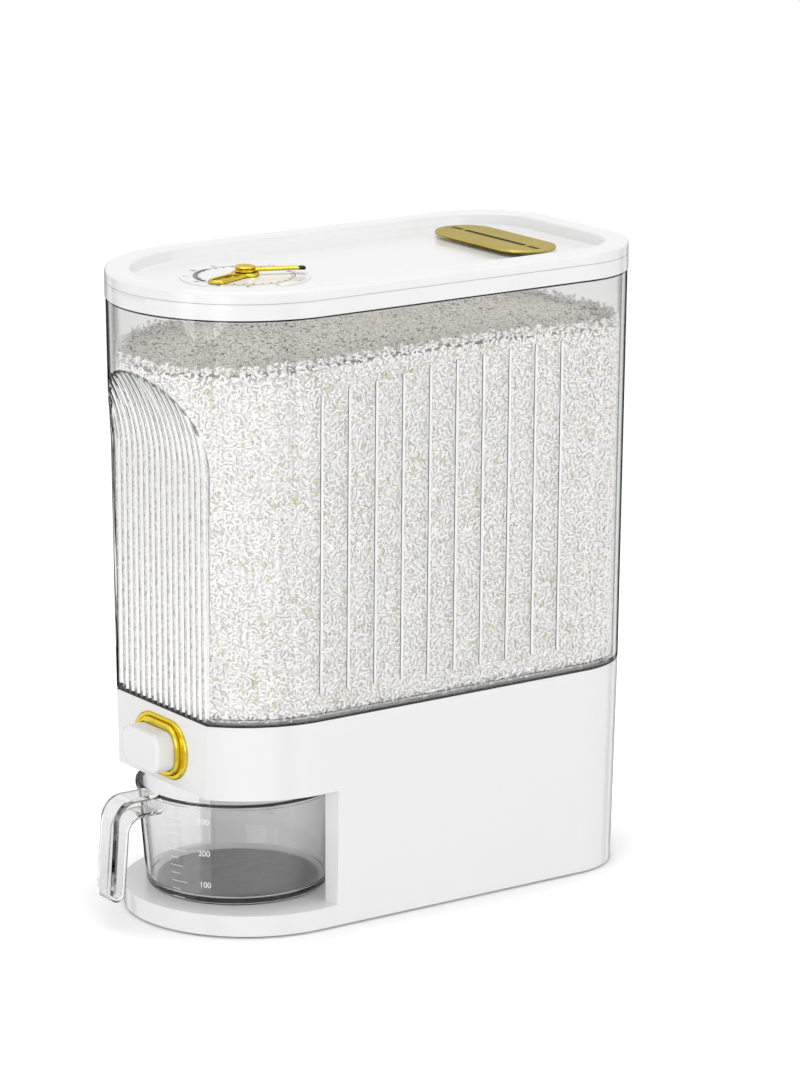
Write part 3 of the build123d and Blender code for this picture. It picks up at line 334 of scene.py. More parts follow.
def clear_styrene(name, tint, edge_shade, ior, end_z, edge_width=0.24):
    """Clear styrene acrylonitrile, moulded in a mirror tool: glassy, with a faint ripple, and shade painted
    at its edges.

    Painted shade: the walls are painted a little greyer, then dark, as they turn away from view, and a dark
    line is painted at the wall's end, at the height end_z. Lamp light goes straight through the walls, so
    that what lies inside is lit.
    """
    material = new_material(name)
    facing = add_node(material, "ShaderNodeLayerWeight", {"Blend": 0.5}).outputs["Facing"]
    # Painted shade: greyer, then dark, where the wall turns away from view, but not on level faces.
    greyer = {"Value": facing, "From Min": 0.3, "From Max": 0.62, "To Min": 0.0, "To Max": 0.07}
    grey = add_node(material, "ShaderNodeMapRange", greyer).outputs["Result"]
    dark_from = 0.84
    turned = {"Value": facing, "From Min": dark_from - edge_width, "From Max": dark_from}
    turned_away = add_node(material, "ShaderNodeMapRange", turned).outputs["Result"]
    walls = {0: turned_away, 1: upright(material)}
    turned_edge_shade = add_node(material, "ShaderNodeMath", walls, operation="MULTIPLY").outputs[0]
    crest, shade = rib_sides(material)
    # Painted shade: a dark line at the wall's end.
    edge = near_height(material, end_z, 1.2 * MM)
    for part in (grey, turned_edge_shade, shade):
        edge = add_node(material, "ShaderNodeMath", {0: edge, 1: part}, operation="MAXIMUM").outputs[0]
    tones = {0: edge, 6: tint, 7: edge_shade}
    ripple = {"Height": noise(material, 40 * MM, detail=0.0), "Strength": 0.1, "Distance": 0.1 * MM}
    inputs = {
        "Base Color": add_node(material, "ShaderNodeMix", tones, data_type="RGBA").outputs[2],
        "Roughness": 0.01,
        "IOR": ior,
        "Transmission Weight": 1.0,
        "Normal": add_node(material, "ShaderNodeBump", ripple).outputs["Normal"],
    }
    wall = add_node(material, "ShaderNodeBsdfPrincipled", inputs).outputs["BSDF"]
    # Painted highlight: a white matt layer laid over the ribs' crests.
    glint = add_node(material, "ShaderNodeBsdfDiffuse", {"Color": tint}).outputs["BSDF"]
    lit = add_node(material, "ShaderNodeMath", {0: crest, 1: 0.8}, operation="MULTIPLY").outputs[0]
    seen = add_node(material, "ShaderNodeMixShader", {0: lit, 1: wall, 2: glint}).outputs["Shader"]
    shadow = add_node(material, "ShaderNodeLightPath").outputs["Is Shadow Ray"]
    open_way = add_node(material, "ShaderNodeBsdfTransparent", {"Color": darker(tint, 0.98)}).outputs["BSDF"]
    mix = add_node(material, "ShaderNodeMixShader", {0: shadow, 1: seen, 2: open_way})
    return finish_material(material, mix.outputs["Shader"])


def plated_zinc(name, bright, shade):
    """Die-cast zinc, polished and gold-plated: mirror-like yellow, deeper in places, with shade painted at
    its edges.
    """
    material = new_material(name)
    cloud = noise(material, 14 * MM)
    polish = noise(material, 0.9 * MM)
    clouded = {0: spread(material, cloud, 0.0, 0.3), 6: bright, 7: shade}
    plate = add_node(material, "ShaderNodeMix", clouded, data_type="RGBA").outputs[2]
    # Painted shade: near-black at sharp edges and where the surface turns away from view, in colour and
    # glint.
    facing = add_node(material, "ShaderNodeLayerWeight", {"Blend": 0.5}).outputs["Facing"]
    turned = {"Value": facing, "From Min": 0.8, "From Max": 0.92}
    turned_edge_shade = add_node(material, "ShaderNodeMapRange", turned).outputs["Result"]
    both = {0: near_edge(material, 1.1 * MM), 1: turned_edge_shade}
    edge = add_node(material, "ShaderNodeMath", both, operation="MAXIMUM").outputs[0]
    outline_shade = darker(shade, 0.1)
    paler = tuple(0.55 * channel + 0.45 for channel in bright)
    base = {0: edge, 6: plate, 7: outline_shade}
    glint = {0: edge, 6: paler, 7: outline_shade}
    relief = {"Height": polish, "Strength": 0.04, "Distance": 0.03 * MM}
    inputs = {
        "Base Color": add_node(material, "ShaderNodeMix", base, data_type="RGBA").outputs[2],
        "Specular Tint": add_node(material, "ShaderNodeMix", glint, data_type="RGBA").outputs[2],
        "Metallic": 1.0,
        "Roughness": spread(material, polish, 0.12, 0.2),
        "Normal": add_node(material, "ShaderNodeBump", relief).outputs["Normal"],
    }
    shader = add_node(material, "ShaderNodeBsdfPrincipled", inputs)
    return finish_material(material, shader.outputs["BSDF"])


def moulded_acetal(name, base):
    """Acetal, moulded and unpainted: milky, waxy, half matt."""
    material = new_material(name)
    mottle = noise(material, 6 * MM)
    tones = {0: mottle, 6: darker(base, 0.92), 7: base}
    relief = {"Height": mottle, "Strength": 0.05, "Distance": 0.1 * MM}
    inputs = {
        "Base Color": add_node(material, "ShaderNodeMix", tones, data_type="RGBA").outputs[2],
        "Roughness": spread(material, mottle, 0.42, 0.52),
        "IOR": 1.48,
        "Normal": add_node(material, "ShaderNodeBump", relief).outputs["Normal"],
    }
    shader = add_node(material, "ShaderNodeBsdfPrincipled", inputs)
    return finish_material(material, shader.outputs["BSDF"])


def matt_acetal(name, base):
    """Black acetal, moulded against a spark-eroded tool: deep, with a fine grain that dulls its gloss."""
    material = new_material(name)
    erosion = noise(material, 0.6 * MM, detail=4.0)
    tones = {0: erosion, 6: darker(base, 0.7), 7: base}
    relief = {"Height": erosion, "Strength": 0.1, "Distance": 0.05 * MM}
    inputs = {
        "Base Color": add_node(material, "ShaderNodeMix", tones, data_type="RGBA").outputs[2],
        "Roughness": spread(material, erosion, 0.3, 0.45),
        "IOR": 1.48,
        "Specular IOR Level": 0.2,
        "Normal": add_node(material, "ShaderNodeBump", relief).outputs["Normal"],
    }
    shader = add_node(material, "ShaderNodeBsdfPrincipled", inputs)
    return finish_material(material, shader.outputs["BSDF"])


def zinc_plated_steel(name, base):
    """Steel wire and screws, drawn and zinc-plated: a grey metal with a fine, uneven sheen."""
    material = new_material(name)
    sheen = noise(material, 0.7 * MM, detail=4.0)
    tones = {0: sheen, 6: darker(base, 0.8), 7: base}
    relief = {"Height": sheen, "Strength": 0.08, "Distance": 0.04 * MM}
    inputs = {
        "Base Color": add_node(material, "ShaderNodeMix", tones, data_type="RGBA").outputs[2],
        "Metallic": 1.0,
        "Roughness": spread(material, sheen, 0.28, 0.4),
        "Normal": add_node(material, "ShaderNodeBump", relief).outputs["Normal"],
    }
    shader = add_node(material, "ShaderNodeBsdfPrincipled", inputs)
    return finish_material(material, shader.outputs["BSDF"])


def silicone_rubber(name, base, roughness=0.5):
    """Silicone rubber, compression-moulded, with a fine bloom.

    It is dull where its mould is blasted, and glossier where the mould is smooth.
    """
    material = new_material(name)
    bloom = noise(material, 2.5 * MM, detail=4.0)
    tones = {0: bloom, 6: darker(base, 0.8), 7: base}
    relief = {"Height": bloom, "Strength": 0.1, "Distance": 0.1 * MM}
    inputs = {
        "Base Color": add_node(material, "ShaderNodeMix", tones, data_type="RGBA").outputs[2],
        "Roughness": spread(material, bloom, roughness, roughness + 0.15),
        "IOR": 1.41,
        "Normal": add_node(material, "ShaderNodeBump", relief).outputs["Normal"],
    }
    shader = add_node(material, "ShaderNodeBsdfPrincipled", inputs)
    return finish_material(material, shader.outputs["BSDF"])


def polished_rice(name, white, odd):
    """Milled white rice: pearly starch, each grain a little different, a few of them of an odd tone."""
    material = new_material(name)
    tone = add_node(material, "ShaderNodeAttribute", attribute_name="tone").outputs["Fac"]
    ramp = add_node(material, "ShaderNodeValToRGB", {"Fac": tone})
    stops = ramp.color_ramp.elements
    stops[0].position = 0.0
    stops[0].color = (*darker(white, 0.86), 1.0)
    stops[1].position = 0.4
    stops[1].color = (*white, 1.0)
    for place, tint in ((0.955, white), (0.97, odd), (1.0, odd)):
        stops.new(place).color = (*tint, 1.0)
    chalk = noise(material, 1.5 * MM)
    relief = {"Height": chalk, "Strength": 0.05, "Distance": 0.1 * MM}
    inputs = {
        "Base Color": ramp.outputs["Color"],
        "Roughness": spread(material, chalk, 0.36, 0.48),
        "IOR": 1.53,
        "Normal": add_node(material, "ShaderNodeBump", relief).outputs["Normal"],
    }
    shader = add_node(material, "ShaderNodeBsdfPrincipled", inputs)
    return finish_material(material, shader.outputs["BSDF"])


def packed_rice(name, gap, white, grain_width):
    """Rice deep between the outer grains: the same starch with shade painted on it, darker away from the
    middle of each grain-sized cell.
    """
    material = new_material(name)
    place = add_node(material, "ShaderNodeTexCoord").outputs["Object"]
    cells = {"Vector": place, "Scale": 1 / (1.5 * grain_width)}
    depth = add_node(material, "ShaderNodeTexVoronoi", cells).outputs["Distance"]
    tones = {0: depth, 6: white, 7: gap}
    relief = {"Height": depth, "Strength": 0.5, "Distance": 0.4 * MM}
    inputs = {
        "Base Color": add_node(material, "ShaderNodeMix", tones, data_type="RGBA").outputs[2],
        "Roughness": 0.6,
        "IOR": 1.53,
        "Normal": add_node(material, "ShaderNodeBump", relief).outputs["Normal"],
    }
    shader = add_node(material, "ShaderNodeBsdfPrincipled", inputs)
    return finish_material(material, shader.outputs["BSDF"])


def screen_ink(name, base):
    """Screen-printed ink, cured: flat colour, slightly mottled by the mesh it was pressed through."""
    material = new_material(name)
    mesh_mark = noise(material, 0.5 * MM)
    tones = {0: mesh_mark, 6: darker(base, 0.9), 7: base}
    inputs = {
        "Base Color": add_node(material, "ShaderNodeMix", tones, data_type="RGBA").outputs[2],
        "Roughness": spread(material, mesh_mark, 0.45, 0.6),
        "IOR": 1.5,
    }
    shader = add_node(material, "ShaderNodeBsdfPrincipled", inputs)
    return finish_material(material, shader.outputs["BSDF"])


def dress(material, *nodes):
    """Gives CAD nodes a material."""
    for node in nodes:
        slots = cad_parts[node].data.materials
        if not slots:
            slots.append(material)
        for place in range(len(slots)):
            slots[place] = material


# ---- Meshes ----
def add_piece(mesh, material, body):
    """An object for a mesh, which rides on a CAD body."""
    mesh.materials.append(material)
    piece = bpy.data.objects.new(mesh.name, mesh)
    bpy.context.scene.collection.objects.link(piece)
    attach(piece, body)
    return piece


def unit(vectors):
    """Vectors of length one."""
    return vectors / np.linalg.norm(vectors, axis=1)[:, None]


# ---- Button's spring ----
def make_coil(material):
    """The button's spring, a copy of the imported one that rides on the body."""
    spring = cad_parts["button_spring"]
    mesh = spring.data.copy()
    mesh.name = "button_coil"
    mesh.transform(spring.matrix_world)
    mesh.materials.clear()
    coil = add_piece(mesh, material, "body")
    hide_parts("button_spring")
    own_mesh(coil)


# ---- Rice ----
def rice_faces():
    """The corners, normals and areas of the triangles of the rice's surface."""
    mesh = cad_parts["rice_fill"].data
    mesh.calc_loop_triangles()
    points = np.empty(3 * len(mesh.vertices))
    mesh.vertices.foreach_get("co", points)
    corners = np.empty(3 * len(mesh.loop_triangles), int)
    mesh.loop_triangles.foreach_get("vertices", corners)
    triangles = points.reshape(-1, 3)[corners.reshape(-1, 3)]
    across = np.cross(triangles[:, 1] - triangles[:, 0], triangles[:, 2] - triangles[:, 0])
    doubled = np.linalg.norm(across, axis=1)
    real = doubled > 0
    return triangles[real], across[real] / doubled[real, None], doubled[real] / 2


def scatter(spacing, rng):
    """Points over the rice's surface, one in each cell of this size, and the surface's normals there."""
    triangles, normals, areas = rice_faces()
    tries_per_cell = 10
    count = int(tries_per_cell * areas.sum() / spacing**2)
    chosen = rng.choice(len(areas), count, p=areas / areas.sum())
    shares = rng.random((2, count, 1))
    shares = np.where(shares.sum(axis=0) > 1, 1 - shares, shares)
    start = triangles[chosen, 0]
    first_side, second_side = triangles[chosen, 1] - start, triangles[chosen, 2] - start
    places = start + shares[0] * first_side + shares[1] * second_side
    _, first = np.unique(np.floor(places / spacing).astype(int), axis=0, return_index=True)
    return places[first], normals[chosen[first]]


def lay_grains(normals, tilt, rng):
    """Random directions for grains lying on a surface, tilted out of it by up to tilt radians."""
    wild = rng.normal(size=normals.shape)
    flat = unit(wild - normals * np.sum(wild * normals, axis=1)[:, None])
    lean = rng.uniform(-1, 1, len(normals))[:, None] * tilt
    along = unit(flat * np.cos(lean) + normals * np.sin(lean))
    return along, unit(np.cross(along, normals))


def grain_mesh(name, centres, along, across, rice, material, rng):
    """One mesh of many grains, each a blunt spindle of five sides.

    Each ring has its place along the grain and its width there, as shares of the grain's.
    """
    sides, rings = 5, ((-0.28, 0.94), (0.28, 0.94))
    flatness = 0.85
    count = len(centres)
    length = rice.grain_length * rng.uniform(0.8, 1.08, count)
    width = rice.grain_width / 2 * rng.uniform(0.85, 1.1, count)
    third = np.cross(along, across)
    per_grain = sides * len(rings) + 2
    points = np.empty((count, per_grain, 3))
    points[:, 0] = centres - along * (length / 2)[:, None]
    points[:, -1] = centres + along * (length / 2)[:, None]
    for ring, (place, size) in enumerate(rings):
        for side in range(sides):
            angle = 2 * math.pi * side / sides
            offset = across * math.cos(angle) + third * flatness * math.sin(angle)
            here = centres + along * (length * place)[:, None] + offset * (width * size)[:, None]
            points[:, 1 + ring * sides + side] = here
    triangles, quads = [], []
    for side in range(sides):
        after = (side + 1) % sides
        triangles.append((0, 1 + after, 1 + side))
        quads.append((1 + side, 1 + after, 1 + sides + after, 1 + sides + side))
        triangles.append((1 + sides + side, 1 + sides + after, per_grain - 1))
    base = (np.arange(count) * per_grain)[:, None, None]
    triangles = (np.array(triangles)[None] + base).reshape(-1, 3)
    quads = (np.array(quads)[None] + base).reshape(-1, 4)
    mesh = bpy.data.meshes.new(name)
    mesh.vertices.add(count * per_grain)
    mesh.vertices.foreach_set("co", points.ravel())
    mesh.loops.add(triangles.size + quads.size)
    mesh.loops.foreach_set("vertex_index", np.concatenate([triangles.ravel(), quads.ravel()]))
    mesh.polygons.add(len(triangles) + len(quads))
    starts = np.concatenate([np.arange(len(triangles)) * 3, triangles.size + np.arange(len(quads)) * 4])
    mesh.polygons.foreach_set("loop_start", starts)
    mesh.polygons.foreach_set("use_smooth", np.ones(len(starts), bool))
    mesh.update(calc_edges=True)
    tones = mesh.attributes.new("tone", "FLOAT", "POINT")
    tones.data.foreach_set("value", np.repeat(rng.uniform(0, 1, count), per_grain))
    return add_piece(mesh, material, "body")


def make_wall_grains(rice, places, normals, material, rng):
    """Grains pressed against the inside of the tank, one piece for each side."""
    sideways, tilt = 0.6, 0.14
    across_x, along_y = normals[:, 0], normals[:, 1]
    side = np.select([across_x > sideways, across_x < -sideways, along_y > 0], [0, 1, 2], 3)
    names = ("rice_at_right_wall", "rice_at_left_wall", "rice_at_back_wall", "rice_at_front_wall")
    for index, name in enumerate(names):
        here, out = places[side == index], normals[side == index]
        along, across = lay_grains(out, tilt, rng)
        poke = np.abs(np.sum(along * out, axis=1)) * rice.grain_length / 2
        depth = rice.grain_width / 2 + poke + rng.uniform(0, rice.unevenness, len(here))
        grain_mesh(name, here - out * depth[:, None], along, across, rice, material, rng)


def make_top_grains(rice, places, normals, walls, material, wall_material, rng):
    """Loose grains on top, and a tumbled heap of them along the walls.

    The heap is deepest at the walls and runs out evenly from them. The rest lies in low waves.
    """
    rim_depth, least_edge, heap_width, heap_layers = 6 * MM, 1.3 * MM, 6.5 * MM, 3
    heap_slope, level_tilt, heap_tilt = 5 * MM, 0.16, 0.7
    wave, wave_across, wave_along = 0.7 * MM, 17 * MM, 23 * MM
    jitter, wall_gap, sunk = 0.3, 0.4 * MM, 0.3 * MM
    rim = [place for place in walls if place[2] > places[:, 2].min() - rim_depth]
    tree = KDTree(len(rim))
    for index, place in enumerate(rim):
        tree.insert((place[0], place[1], 0.0), index)
    tree.balance()
    edge = np.array([tree.find((place[0], place[1], 0.0))[2] for place in places])
    kept = edge > least_edge
    heaped = np.repeat(np.flatnonzero(kept & (edge < heap_width)), heap_layers)
    chosen = np.concatenate([np.flatnonzero(kept), heaped])
    places, normals, edge = places[chosen], normals[chosen], edge[chosen]
    near = np.exp(-((edge / heap_slope) ** 2))
    swell = wave * np.sin(places[:, 0] / wave_across) * np.cos(places[:, 1] / wave_along)
    heap = rng.uniform(0, 1, len(places)) * near * rice.heap
    lift = heap + rng.uniform(-jitter, jitter, len(places)) * MM
    along, across = lay_grains(normals, (level_tilt + heap_tilt * near)[:, None], rng)
    reach = np.abs(along[:, :2]).max(axis=1) * rice.grain_length / 2
    inward = np.clip(reach + wall_gap - edge, 0, None)[:, None]
    middle = np.array([0.0, places[:, 1].mean(), 0.0])
    centres = places + unit((middle - places) * (1, 1, 0)) * inward
    centres[:, 2] += swell * (1 - near) + lift - sunk
    level = slice(0, len(chosen) - len(heaped))
    grain_mesh("rice_on_top", centres[level], along[level], across[level], rice, material, rng)
    tumbled = slice(len(chosen) - len(heaped), None)
    parts = centres[tumbled], along[tumbled], across[tumbled]
    grain_mesh("rice_along_walls", *parts, rice, wall_material, rng)


def make_rice_core(rice, material):
    """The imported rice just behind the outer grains, down through the hopper to the gate."""
    solid = bmesh.new()
    solid.from_mesh(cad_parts["rice_fill"].data)
    bmesh.ops.remove_doubles(solid, verts=solid.verts, dist=0.01 * MM)
    bmesh.ops.recalc_face_normals(solid, faces=solid.faces)
    solid.normal_update()
    moves = [vertex.normal * (vertex.calc_shell_factor() * rice.core_depth) for vertex in solid.verts]
    for vertex, move in zip(solid.verts, moves):
        vertex.co -= move
    mesh = bpy.data.meshes.new("rice_core")
    solid.to_mesh(mesh)
    solid.free()
    core = add_piece(mesh, material, "body")
    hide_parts("rice_fill")


# ---- Printing ----
# The print stands this far off the wall and the dial.
CUP_INK = 0.08 * MM
DIAL_INK = 0.06 * MM


def flat_figure(text, height):
    """The points and faces of a figure drawn flat about the origin."""
    cap_share = 0.7
    letters = bpy.data.curves.new("figure", "FONT")
    letters.body = text
    letters.size = height / cap_share
    letters.align_x = "CENTER"
    letters.align_y = "CENTER"
    holder = bpy.data.objects.new("figure", letters)
    mesh = bpy.data.meshes.new_from_object(holder)
    points = [(point.co.x, point.co.y) for point in mesh.vertices]
    faces = [tuple(face.vertices) for face in mesh.polygons]
    bpy.data.objects.remove(holder)
    bpy.data.curves.remove(letters)
    bpy.data.meshes.remove(mesh)
    return points, faces


def flat_bar(left, right, low, high, parts):
    """The points and faces of a bar cut into parts, so that it can bend."""
    points = []
    for index in range(parts + 1):
        along = left + (right - left) * index / parts
        points += [(along, low), (along, high)]
    faces = [(2 * index, 2 * index + 2, 2 * index + 3, 2 * index + 1) for index in range(parts)]
    return points, faces


def print_piece(name, prints, material, body):
    """One mesh of many prints, each a pair of placed points and faces."""
    points, faces = [], []
    for placed, shapes in prints:
        faces += [tuple(index + len(points) for index in face) for face in shapes]
        points += placed
    mesh = bpy.data.meshes.new(name)
    mesh.from_pydata(points, [], faces)
    return add_piece(mesh, material, body)


def on_cup(flat, middle, height):
    """Wraps flat points onto the cup's wall about an angle and a height."""
    placed = []
    wall_foot = CUP_LOW.z + CUP_CORNER
    wall_top = CUP_HIGH.z - CUP_BEAD_HEIGHT
    for along, up in flat:
        z = height + up
        share = (z - wall_foot) / (wall_top - wall_foot)
        radius = CUP_RIM_RADIUS - CUP_TAPER + (CUP_TAPER - CUP_BEAD) * share + CUP_INK
        angle = middle + along / CUP_RIM_RADIUS
        placed.append((radius * math.cos(angle), CUP_Y + radius * math.sin(angle), z))
    return placed


def on_dial(flat, turn, radius):
    """Lays flat points on the dial, with their own middle at a turn and radius and their feet inwards."""
    placed = []
    for along, up in flat:
        reach = radius + up
        x = reach * math.cos(turn) + along * math.sin(turn)
        y = reach * math.sin(turn) - along * math.cos(turn)
        placed.append(tuple(DIAL_CENTRE + Vector((x, y, DIAL_INK))))
    return placed


def dial_arc(inner, outer, start, end, parts):
    """An arc on the dial as placed points and faces."""
    points = []
    for index in range(parts + 1):
        turn = start + (end - start) * index / parts
        for radius in (inner, outer):
            edge = Vector((radius * math.cos(turn), radius * math.sin(turn), DIAL_INK))
            points.append(tuple(DIAL_CENTRE + edge))
    faces = [(2 * index, 2 * index + 1, 2 * index + 3, 2 * index + 2) for index in range(parts)]
    return points, faces


# ---- Operators ----
class DressMouldings(Operator):
    """Finish the white, the natural and the black plastic mouldings"""

    bl_idname = "dispenser.dress_mouldings"
    bl_label = "Mouldings"

    def execute(self, context):
        finishes = context.scene.dispenser_finishes
        white = polished_abs("polished white ABS", finishes.white, COLLAR_HIGH.z, finishes.seam)
        dress(white, "housing", "collar", "lid", "button_cap", "hopper", "dial_plate")
        works = moulded_acetal("moulded natural acetal", finishes.works)
        dress(works, "outlet_chute", "gate_slide", "push_rod", "button_guide", "bottom_cover")
        dress(matt_acetal("black moulded acetal", finishes.black), "grip_inlay", "hand_tip")
        return {"FINISHED"}


class DressClearPieces(Operator):
    """Finish the clear tank, cup and handle"""

    bl_idname = "dispenser.dress_clear_pieces"
    bl_label = "Clear tank and cup"

    def execute(self, context):
        finishes = context.scene.dispenser_finishes
        edge = finishes.clear_edge_shade
        tank = clear_styrene("clear styrene of the tank", finishes.tank_clear, edge, 1.45, TANK_HIGH.z)
        dress(tank, "tank")
        cup = clear_styrene("clear styrene of the cup", finishes.cup_clear, edge, 1.5, CUP_HIGH.z)
        dress(cup, "cup")
        inputs = finishes.cup_clear, edge, 1.5, 0.0
        handle = clear_styrene("clear styrene of the handle", *inputs, edge_width=0.4)
        dress(handle, "cup_handle")
        return {"FINISHED"}


class DressFittings(Operator):
    """Finish the gold, steel and rubber fittings"""

    bl_idname = "dispenser.dress_fittings"
    bl_label = "Fittings"

    def execute(self, context):
        finishes = context.scene.dispenser_finishes
        gold = plated_zinc("polished gold plating", finishes.gold, finishes.gold_shade)
        dress(gold, "hub_cap", "month_hand", "day_hand", "button_bezel")
        dress(plated_zinc("deep gold plating", finishes.old_gold, finishes.gold_shade), "lid_grip")
        steel = zinc_plated_steel("zinc-plated steel", finishes.steel)
        dress(steel, "cover_screws", "chute_screws", "gate_screws", "guide_screws", "grip_screws")
        dress(steel, "dial_pin")
        make_coil(steel)
        dress(silicone_rubber("black silicone rubber", finishes.rubber), "tank_gasket", "rubber_feet")
        dress(silicone_rubber("smooth smoky silicone rubber", finishes.pad, 0.15), "cup_pad")
        dress(silicone_rubber("pale silicone rubber", finishes.seal), "lid_seal")
        return {"FINISHED"}


class FillRice(Operator):
    """Fill the tank with rice"""

    bl_idname = "dispenser.fill_rice"
    bl_label = "Rice"

    def execute(self, context):
        rice = context.scene.dispenser_rice
        rng = np.random.default_rng(rice.seed)
        grains = polished_rice("milled white rice", rice.white, rice.warm)
        # The rice on top gets its own darker copy, with a few grains at random in the shaded colour: painted
        # shade.
        loose = polished_rice("loose milled white rice", rice.loose, rice.shaded)
        packed = packed_rice("rice in the shade between grains", rice.gap, rice.white, rice.grain_width)
        make_rice_core(rice, packed)
        places, normals = scatter(rice.spacing, rng)
        hidden_below, top_from, wall_to = JOINT_Z + 1 * MM, 0.7, 0.95
        shown = places[:, 2] > hidden_below
        places, normals = places[shown], normals[shown]
        on_top = normals[:, 2] > top_from
        walls = ~on_top & (np.abs(normals[:, 2]) < wall_to)
        make_wall_grains(rice, places[walls], normals[walls], grains, rng)
        make_top_grains(rice, places[on_top], normals[on_top], places[walls], loose, grains, rng)
        return {"FINISHED"}


class PrintCup(Operator):
    """Print a plain scale on the cup"""

    bl_idname = "dispenser.print_cup"
    bl_label = "Cup scale"

    def execute(self, context):
        settings = context.scene.dispenser_print
        figures_at, marks_at = math.radians(-53), math.radians(-71)
        first_z, step_z, line, left = 28.3 * MM, 20.6 * MM, 0.32 * MM, -6.5 * MM
        parts_of_step = ((0, 6.5 * MM), (-0.25, 3.5 * MM), (-0.5, 5 * MM), (-0.75, 3.5 * MM))
        prints = []
        for index in range(3):
            height = first_z + index * step_z
            points, faces = flat_figure(str(100 * (index + 1)), settings.cup_figure)
            prints.append((on_cup(points, figures_at, height), faces))
            for part, reach in parts_of_step:
                points, faces = flat_bar(left, 2 * reach + left, -line / 2, line / 2, 8)
                prints.append((on_cup(points, marks_at, height + part * step_z), faces))
        ink = screen_ink("white screen print", settings.cup_ink)
        print_piece("cup_scale", prints, ink, "cup_body")
        return {"FINISHED"}


class PrintDial(Operator):
    """Print plain numbers and marks on the dial"""

    bl_idname = "dispenser.print_dial"
    bl_label = "Dial scale"

    def execute(self, context):
        settings = context.scene.dispenser_print
        ring, figures_at = 30.3 * MM, 35.2 * MM
        days_at = ring - 1.6 * MM
        ring_half, day_half_width, day_half_length = 0.25 * MM, 0.45 * MM, 1.1 * MM
        around = 2 * math.pi
        prints = [dial_arc(ring - ring_half, ring + ring_half, 0, around, 96)]
        for month in range(12):
            turn = around * (3 - month - 1) / 12
            points, faces = flat_figure(str(month + 1), settings.dial_figure)
            prints.append((on_dial(points, turn, figures_at), faces))
        days = 31
        for day in range(days):
            sides = -day_half_width, day_half_width, -day_half_length, day_half_length
            points, faces = flat_bar(*sides, 1)
            prints.append((on_dial(points, around * day / days, days_at), faces))
        ink = screen_ink("grey screen print", settings.dial_ink)
        print_piece("dial_scale", prints, ink, "lid_body")
        middle, reach, thickness = math.radians(-125), math.radians(38), 0.8 * MM
        arcs = [
            dial_arc(radius, radius + thickness, middle - reach, middle + reach, 32)
            for radius in (ring + 0.5 * MM, ring - 1.3 * MM)
        ]
        black = screen_ink("black screen print", settings.dial_black)
        print_piece("dial_arcs", arcs, black, "lid_body")
        return {"FINISHED"}


class SetStage(Operator):
    """Set the floor, the lamps, the flags and the camera"""

    bl_idname = "dispenser.set_stage"
    bl_label = "Stage"

    def execute(self, context):
        stage = context.scene.dispenser_stage
        set_floor(stage)
        set_world(stage)
        middle = Vector((0, 0, 0.2))
        softboxes = (
            ("softbox_above", Vector((0.1, -0.1, 1.9)), (1.5, 1.5), stage.top_power),
            ("softbox_front", Vector((0.62, -1.45, 0.33)), (1.2, 0.6), stage.front_power),
            ("softbox_flank", Vector((1.7, 0.9, 0.6)), (1.2, 1.1), stage.flank_power),
        )
        for name, place, size, power in softboxes:
            soft_light(name, place, middle, size, power)
        under_lid = Vector((0, (TANK_LOW.y + TANK_HIGH.y) / 2, LID_LOW.z))
        below = under_lid - Vector((0, 0, 1))
        fill_light("fill_under_lid", under_lid, below, size=(0.11, 0.3), power=stage.lid_power)
        in_bay = Vector((-20 * MM, CUP_Y - 30 * MM, CUP_HIGH.z))
        back_of_bay = Vector((30 * MM, CUP_HIGH.y, (CUP_LOW.z + CUP_HIGH.z) / 2))
        fill_light("fill_in_bay", in_bay, back_of_bay, size=(0.08, 0.02), power=stage.bay_power)
        set_flags()
        set_camera()
        context.scene.view_settings.view_transform = "Standard"
        return {"FINISHED"}


def set_floor(stage):
    """A pale floor that keeps the object's shadow and is white away from it. Seen directly, it also glows,
    and the glow fades where ambient occlusion finds the object close: a painted contact shadow.
    """
    material = new_material("pale matt floor")
    tones = {0: noise(material, 0.4), 6: darker(stage.floor, 0.99), 7: stage.floor}
    tone = add_node(material, "ShaderNodeMix", tones, data_type="RGBA").outputs[2]
    matt = add_node(material, "ShaderNodeBsdfDiffuse", {"Color": tone}).outputs["BSDF"]
    # Painted shade: the glow dims near the object, a soft contact shadow.
    open_sky = add_node(material, "ShaderNodeAmbientOcclusion", {"Distance": 0.12}, samples=8).outputs["AO"]
    clear = {"Value": open_sky, "From Min": 0.55, "From Max": 0.92, "To Min": 0.0, "To Max": 0.42}
    strength = add_node(material, "ShaderNodeMapRange", clear).outputs["Result"]
    glow = add_node(material, "ShaderNodeEmission", {"Color": stage.floor, "Strength": strength})
    lit = add_node(material, "ShaderNodeAddShader", {0: matt, 1: glow.outputs["Emission"]}).outputs["Shader"]
    rays = add_node(material, "ShaderNodeLightPath").outputs
    seen = {0: rays["Is Transmission Ray"], 1: 0.35, 2: rays["Is Camera Ray"]}
    share = add_node(material, "ShaderNodeMath", seen, operation="MULTIPLY_ADD").outputs[0]
    mix = add_node(material, "ShaderNodeMixShader", {0: share, 1: matt, 2: lit})
    finish_material(material, mix.outputs["Shader"])
    half = 6.0
    corners = [(-half, -half, 0), (half, -half, 0), (half, half, 0), (-half, half, 0)]
    mesh = bpy.data.meshes.new("floor")
    mesh.from_pydata(corners, [], [(0, 1, 2, 3)])
    mesh.materials.append(material)
    floor = bpy.data.objects.new("floor", mesh)
    bpy.context.scene.collection.objects.link(floor)
    floor.visible_glossy = False


def seen_directly(material):
    """1 for what the camera sees itself, in a mirror or through glass."""
    rays = add_node(material, "ShaderNodeLightPath").outputs
    plain = {0: rays["Is Camera Ray"], 1: rays["Is Glossy Ray"]}
    either = add_node(material, "ShaderNodeMath", plain, operation="MAXIMUM").outputs[0]
    through = {0: either, 1: rays["Is Transmission Ray"]}
    return add_node(material, "ShaderNodeMath", through, operation="MAXIMUM").outputs[0]


